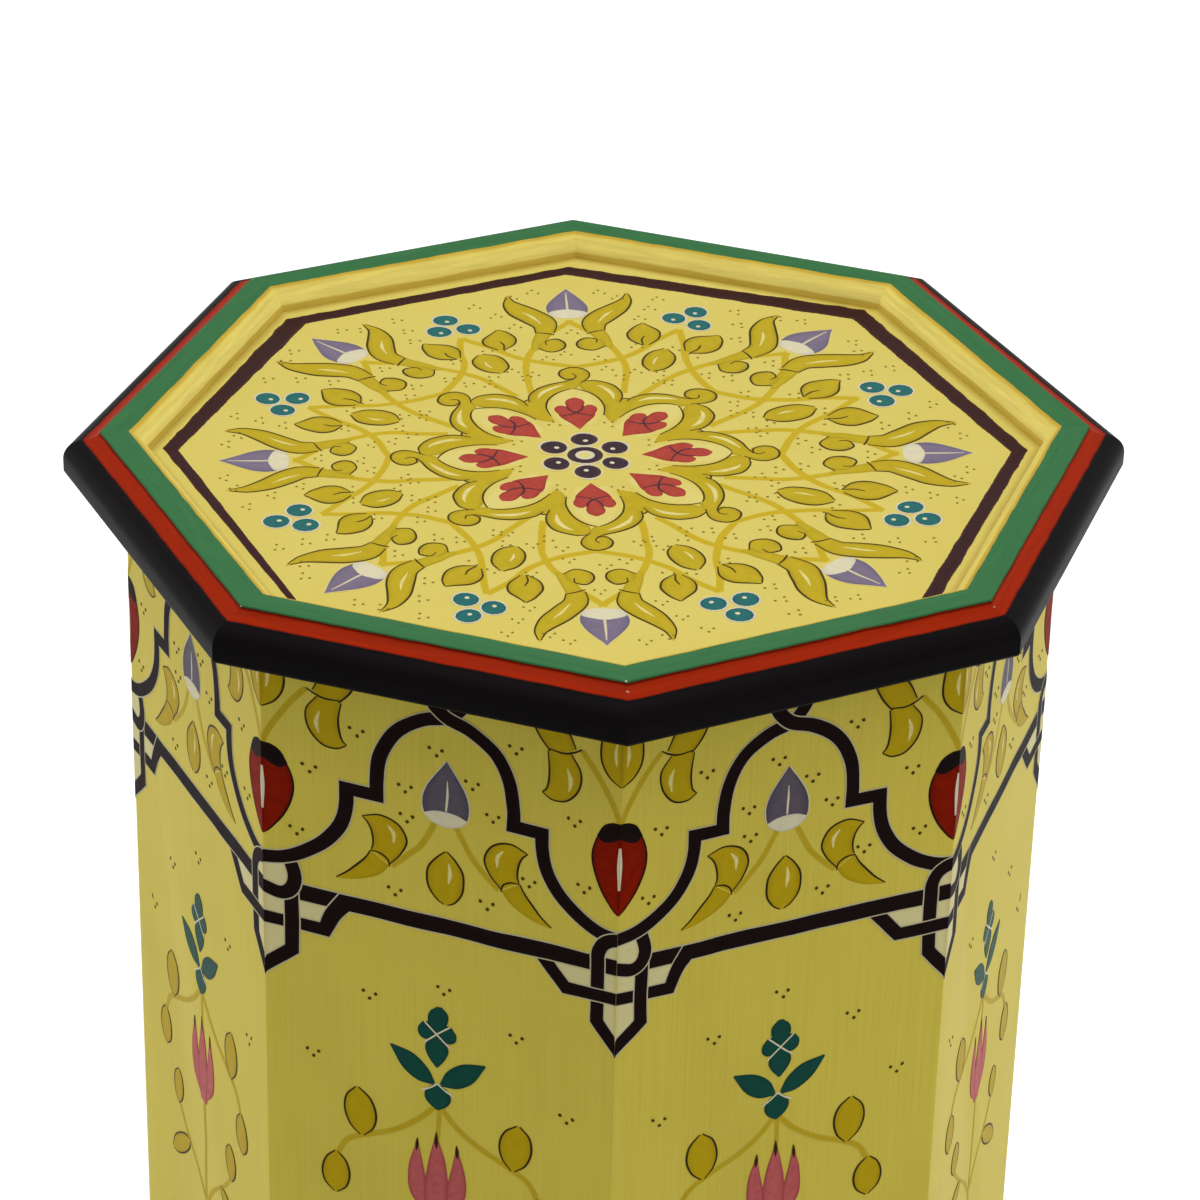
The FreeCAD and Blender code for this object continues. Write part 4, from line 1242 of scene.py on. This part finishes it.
for coat in (
    creams, greys, strands, side_stems, side_leaves, side_gleams, side_purple, side_chalk,
    side_red, side_black, side_green, side_pink, side_outlines, side_triplets,
):
    lay(coat, "panel_paint", panel_slips, upright=1.0, half_width=CORNER * MM, hand_error=PANEL_HAND * MM)

# Floor, lamps and camera: a seamless white studio floor under large soft lamps above and at both sides. The
# camera stands where the photograph was taken from. Their places are in metres and degrees.
FLOOR_HALF = 8.0
FLOOR_WHITE = "#F4F4F2"
FLOOR_FIBRE = "#EFEFEC"
FIBRE_SIZE = 4.0
FLOOR_LIFT = 0.6
SKY_LIGHT = 0.25
LAMP_AIM = Vector((0, 0, 0.4))
LENS = 135
SENSOR = 36
VIEW_TURN = 18.739
VIEW_TILT = 60.362
VIEW_ROLL = 1.438
VIEW_FROM = (0.00087, -0.07062, 1.85427)


def shown(tree):
    """One for the rays that show a backdrop: those from the camera, off gloss and through glass."""
    ray = add(tree, "ShaderNodeLightPath").outputs
    seen = add(tree, "ShaderNodeMath", {0: ray["Is Camera Ray"], 1: ray["Is Glossy Ray"]}, operation="ADD")
    return add(tree, "ShaderNodeMath", {0: seen, 1: ray["Is Transmission Ray"]}, operation="ADD")


# Matt white floor paper: shown white to the camera, with the table's own soft shadow kept
floor_paper, tree, place = new_material("matt white floor paper")
fibres = add(tree, "ShaderNodeTexNoise", {"Vector": place, "Scale": per_metre(FIBRE_SIZE), "Detail": 2.0})
finish = {
    "Base Color": add(tree, "ShaderNodeMix", {0: fibres, 6: FLOOR_WHITE, 7: FLOOR_FIBRE}, data_type="RGBA"),
    "Roughness": 0.9,
    "Emission Color": (1, 1, 1, 1),
    "Emission Strength": add(tree, "ShaderNodeMath", {0: shown(tree), 1: FLOOR_LIFT}, operation="MULTIPLY"),
}
add(tree, "ShaderNodeOutputMaterial", {"Surface": add(tree, "ShaderNodeBsdfPrincipled", finish)})
floor_mesh = bpy.data.meshes.new("floor")
corners = [(x * FLOOR_HALF, y * FLOOR_HALF, 0) for x, y in ((-1, -1), (1, -1), (1, 1), (-1, 1))]
floor_mesh.from_pydata(corners, [], [(0, 1, 2, 3)])
new_piece("floor", floor_mesh, floor_paper)

world = bpy.data.worlds.new("studio")
bpy.context.scene.world = world
world.use_nodes = True
tree = world.node_tree
tree.nodes.clear()
strength = add(tree, "ShaderNodeMapRange", {"Value": shown(tree), "To Min": SKY_LIGHT})
sky = add(tree, "ShaderNodeBackground", {"Color": (1, 1, 1, 1), "Strength": strength})
add(tree, "ShaderNodeOutputWorld", {"Surface": sky})

for name, bearing, height, distance, size, power in (
    ("overhead_lamp", 0, 2.6, 0.3, 2.2, 33),
    ("left_lamp", -97, 1.3, 2.4, 1.6, 18),
    ("right_lamp", 88, 1.3, 2.4, 1.6, 19.5),
):
    lamp = bpy.data.objects.new(name, bpy.data.lights.new(name, "AREA"))
    lamp.data.shape = "SQUARE"
    lamp.data.size = size
    lamp.data.energy = power
    bpy.context.scene.collection.objects.link(lamp)
    way = math.radians(VIEW_TURN - 90 + bearing)
    lamp.location = (distance * math.cos(way), distance * math.sin(way), height)
    lamp.rotation_euler = (LAMP_AIM - lamp.location).to_track_quat("-Z", "Y").to_euler()

camera = bpy.data.objects.new("camera", bpy.data.cameras.new("camera"))
camera.data.sensor_width = SENSOR
camera.data.lens = LENS
bpy.context.scene.collection.objects.link(camera)
camera.matrix_world = (
    Matrix.Translation((0, 0, TABLE_TOP * MM))
    @ Matrix.Rotation(math.radians(VIEW_TURN), 4, "Z")
    @ Matrix.Rotation(math.radians(VIEW_TILT), 4, "X")
    @ Matrix.Rotation(math.radians(VIEW_ROLL), 4, "Z")
    @ Matrix.Translation(VIEW_FROM)
)
bpy.context.scene.camera = camera
bpy.context.scene.view_settings.view_transform = "Standard"
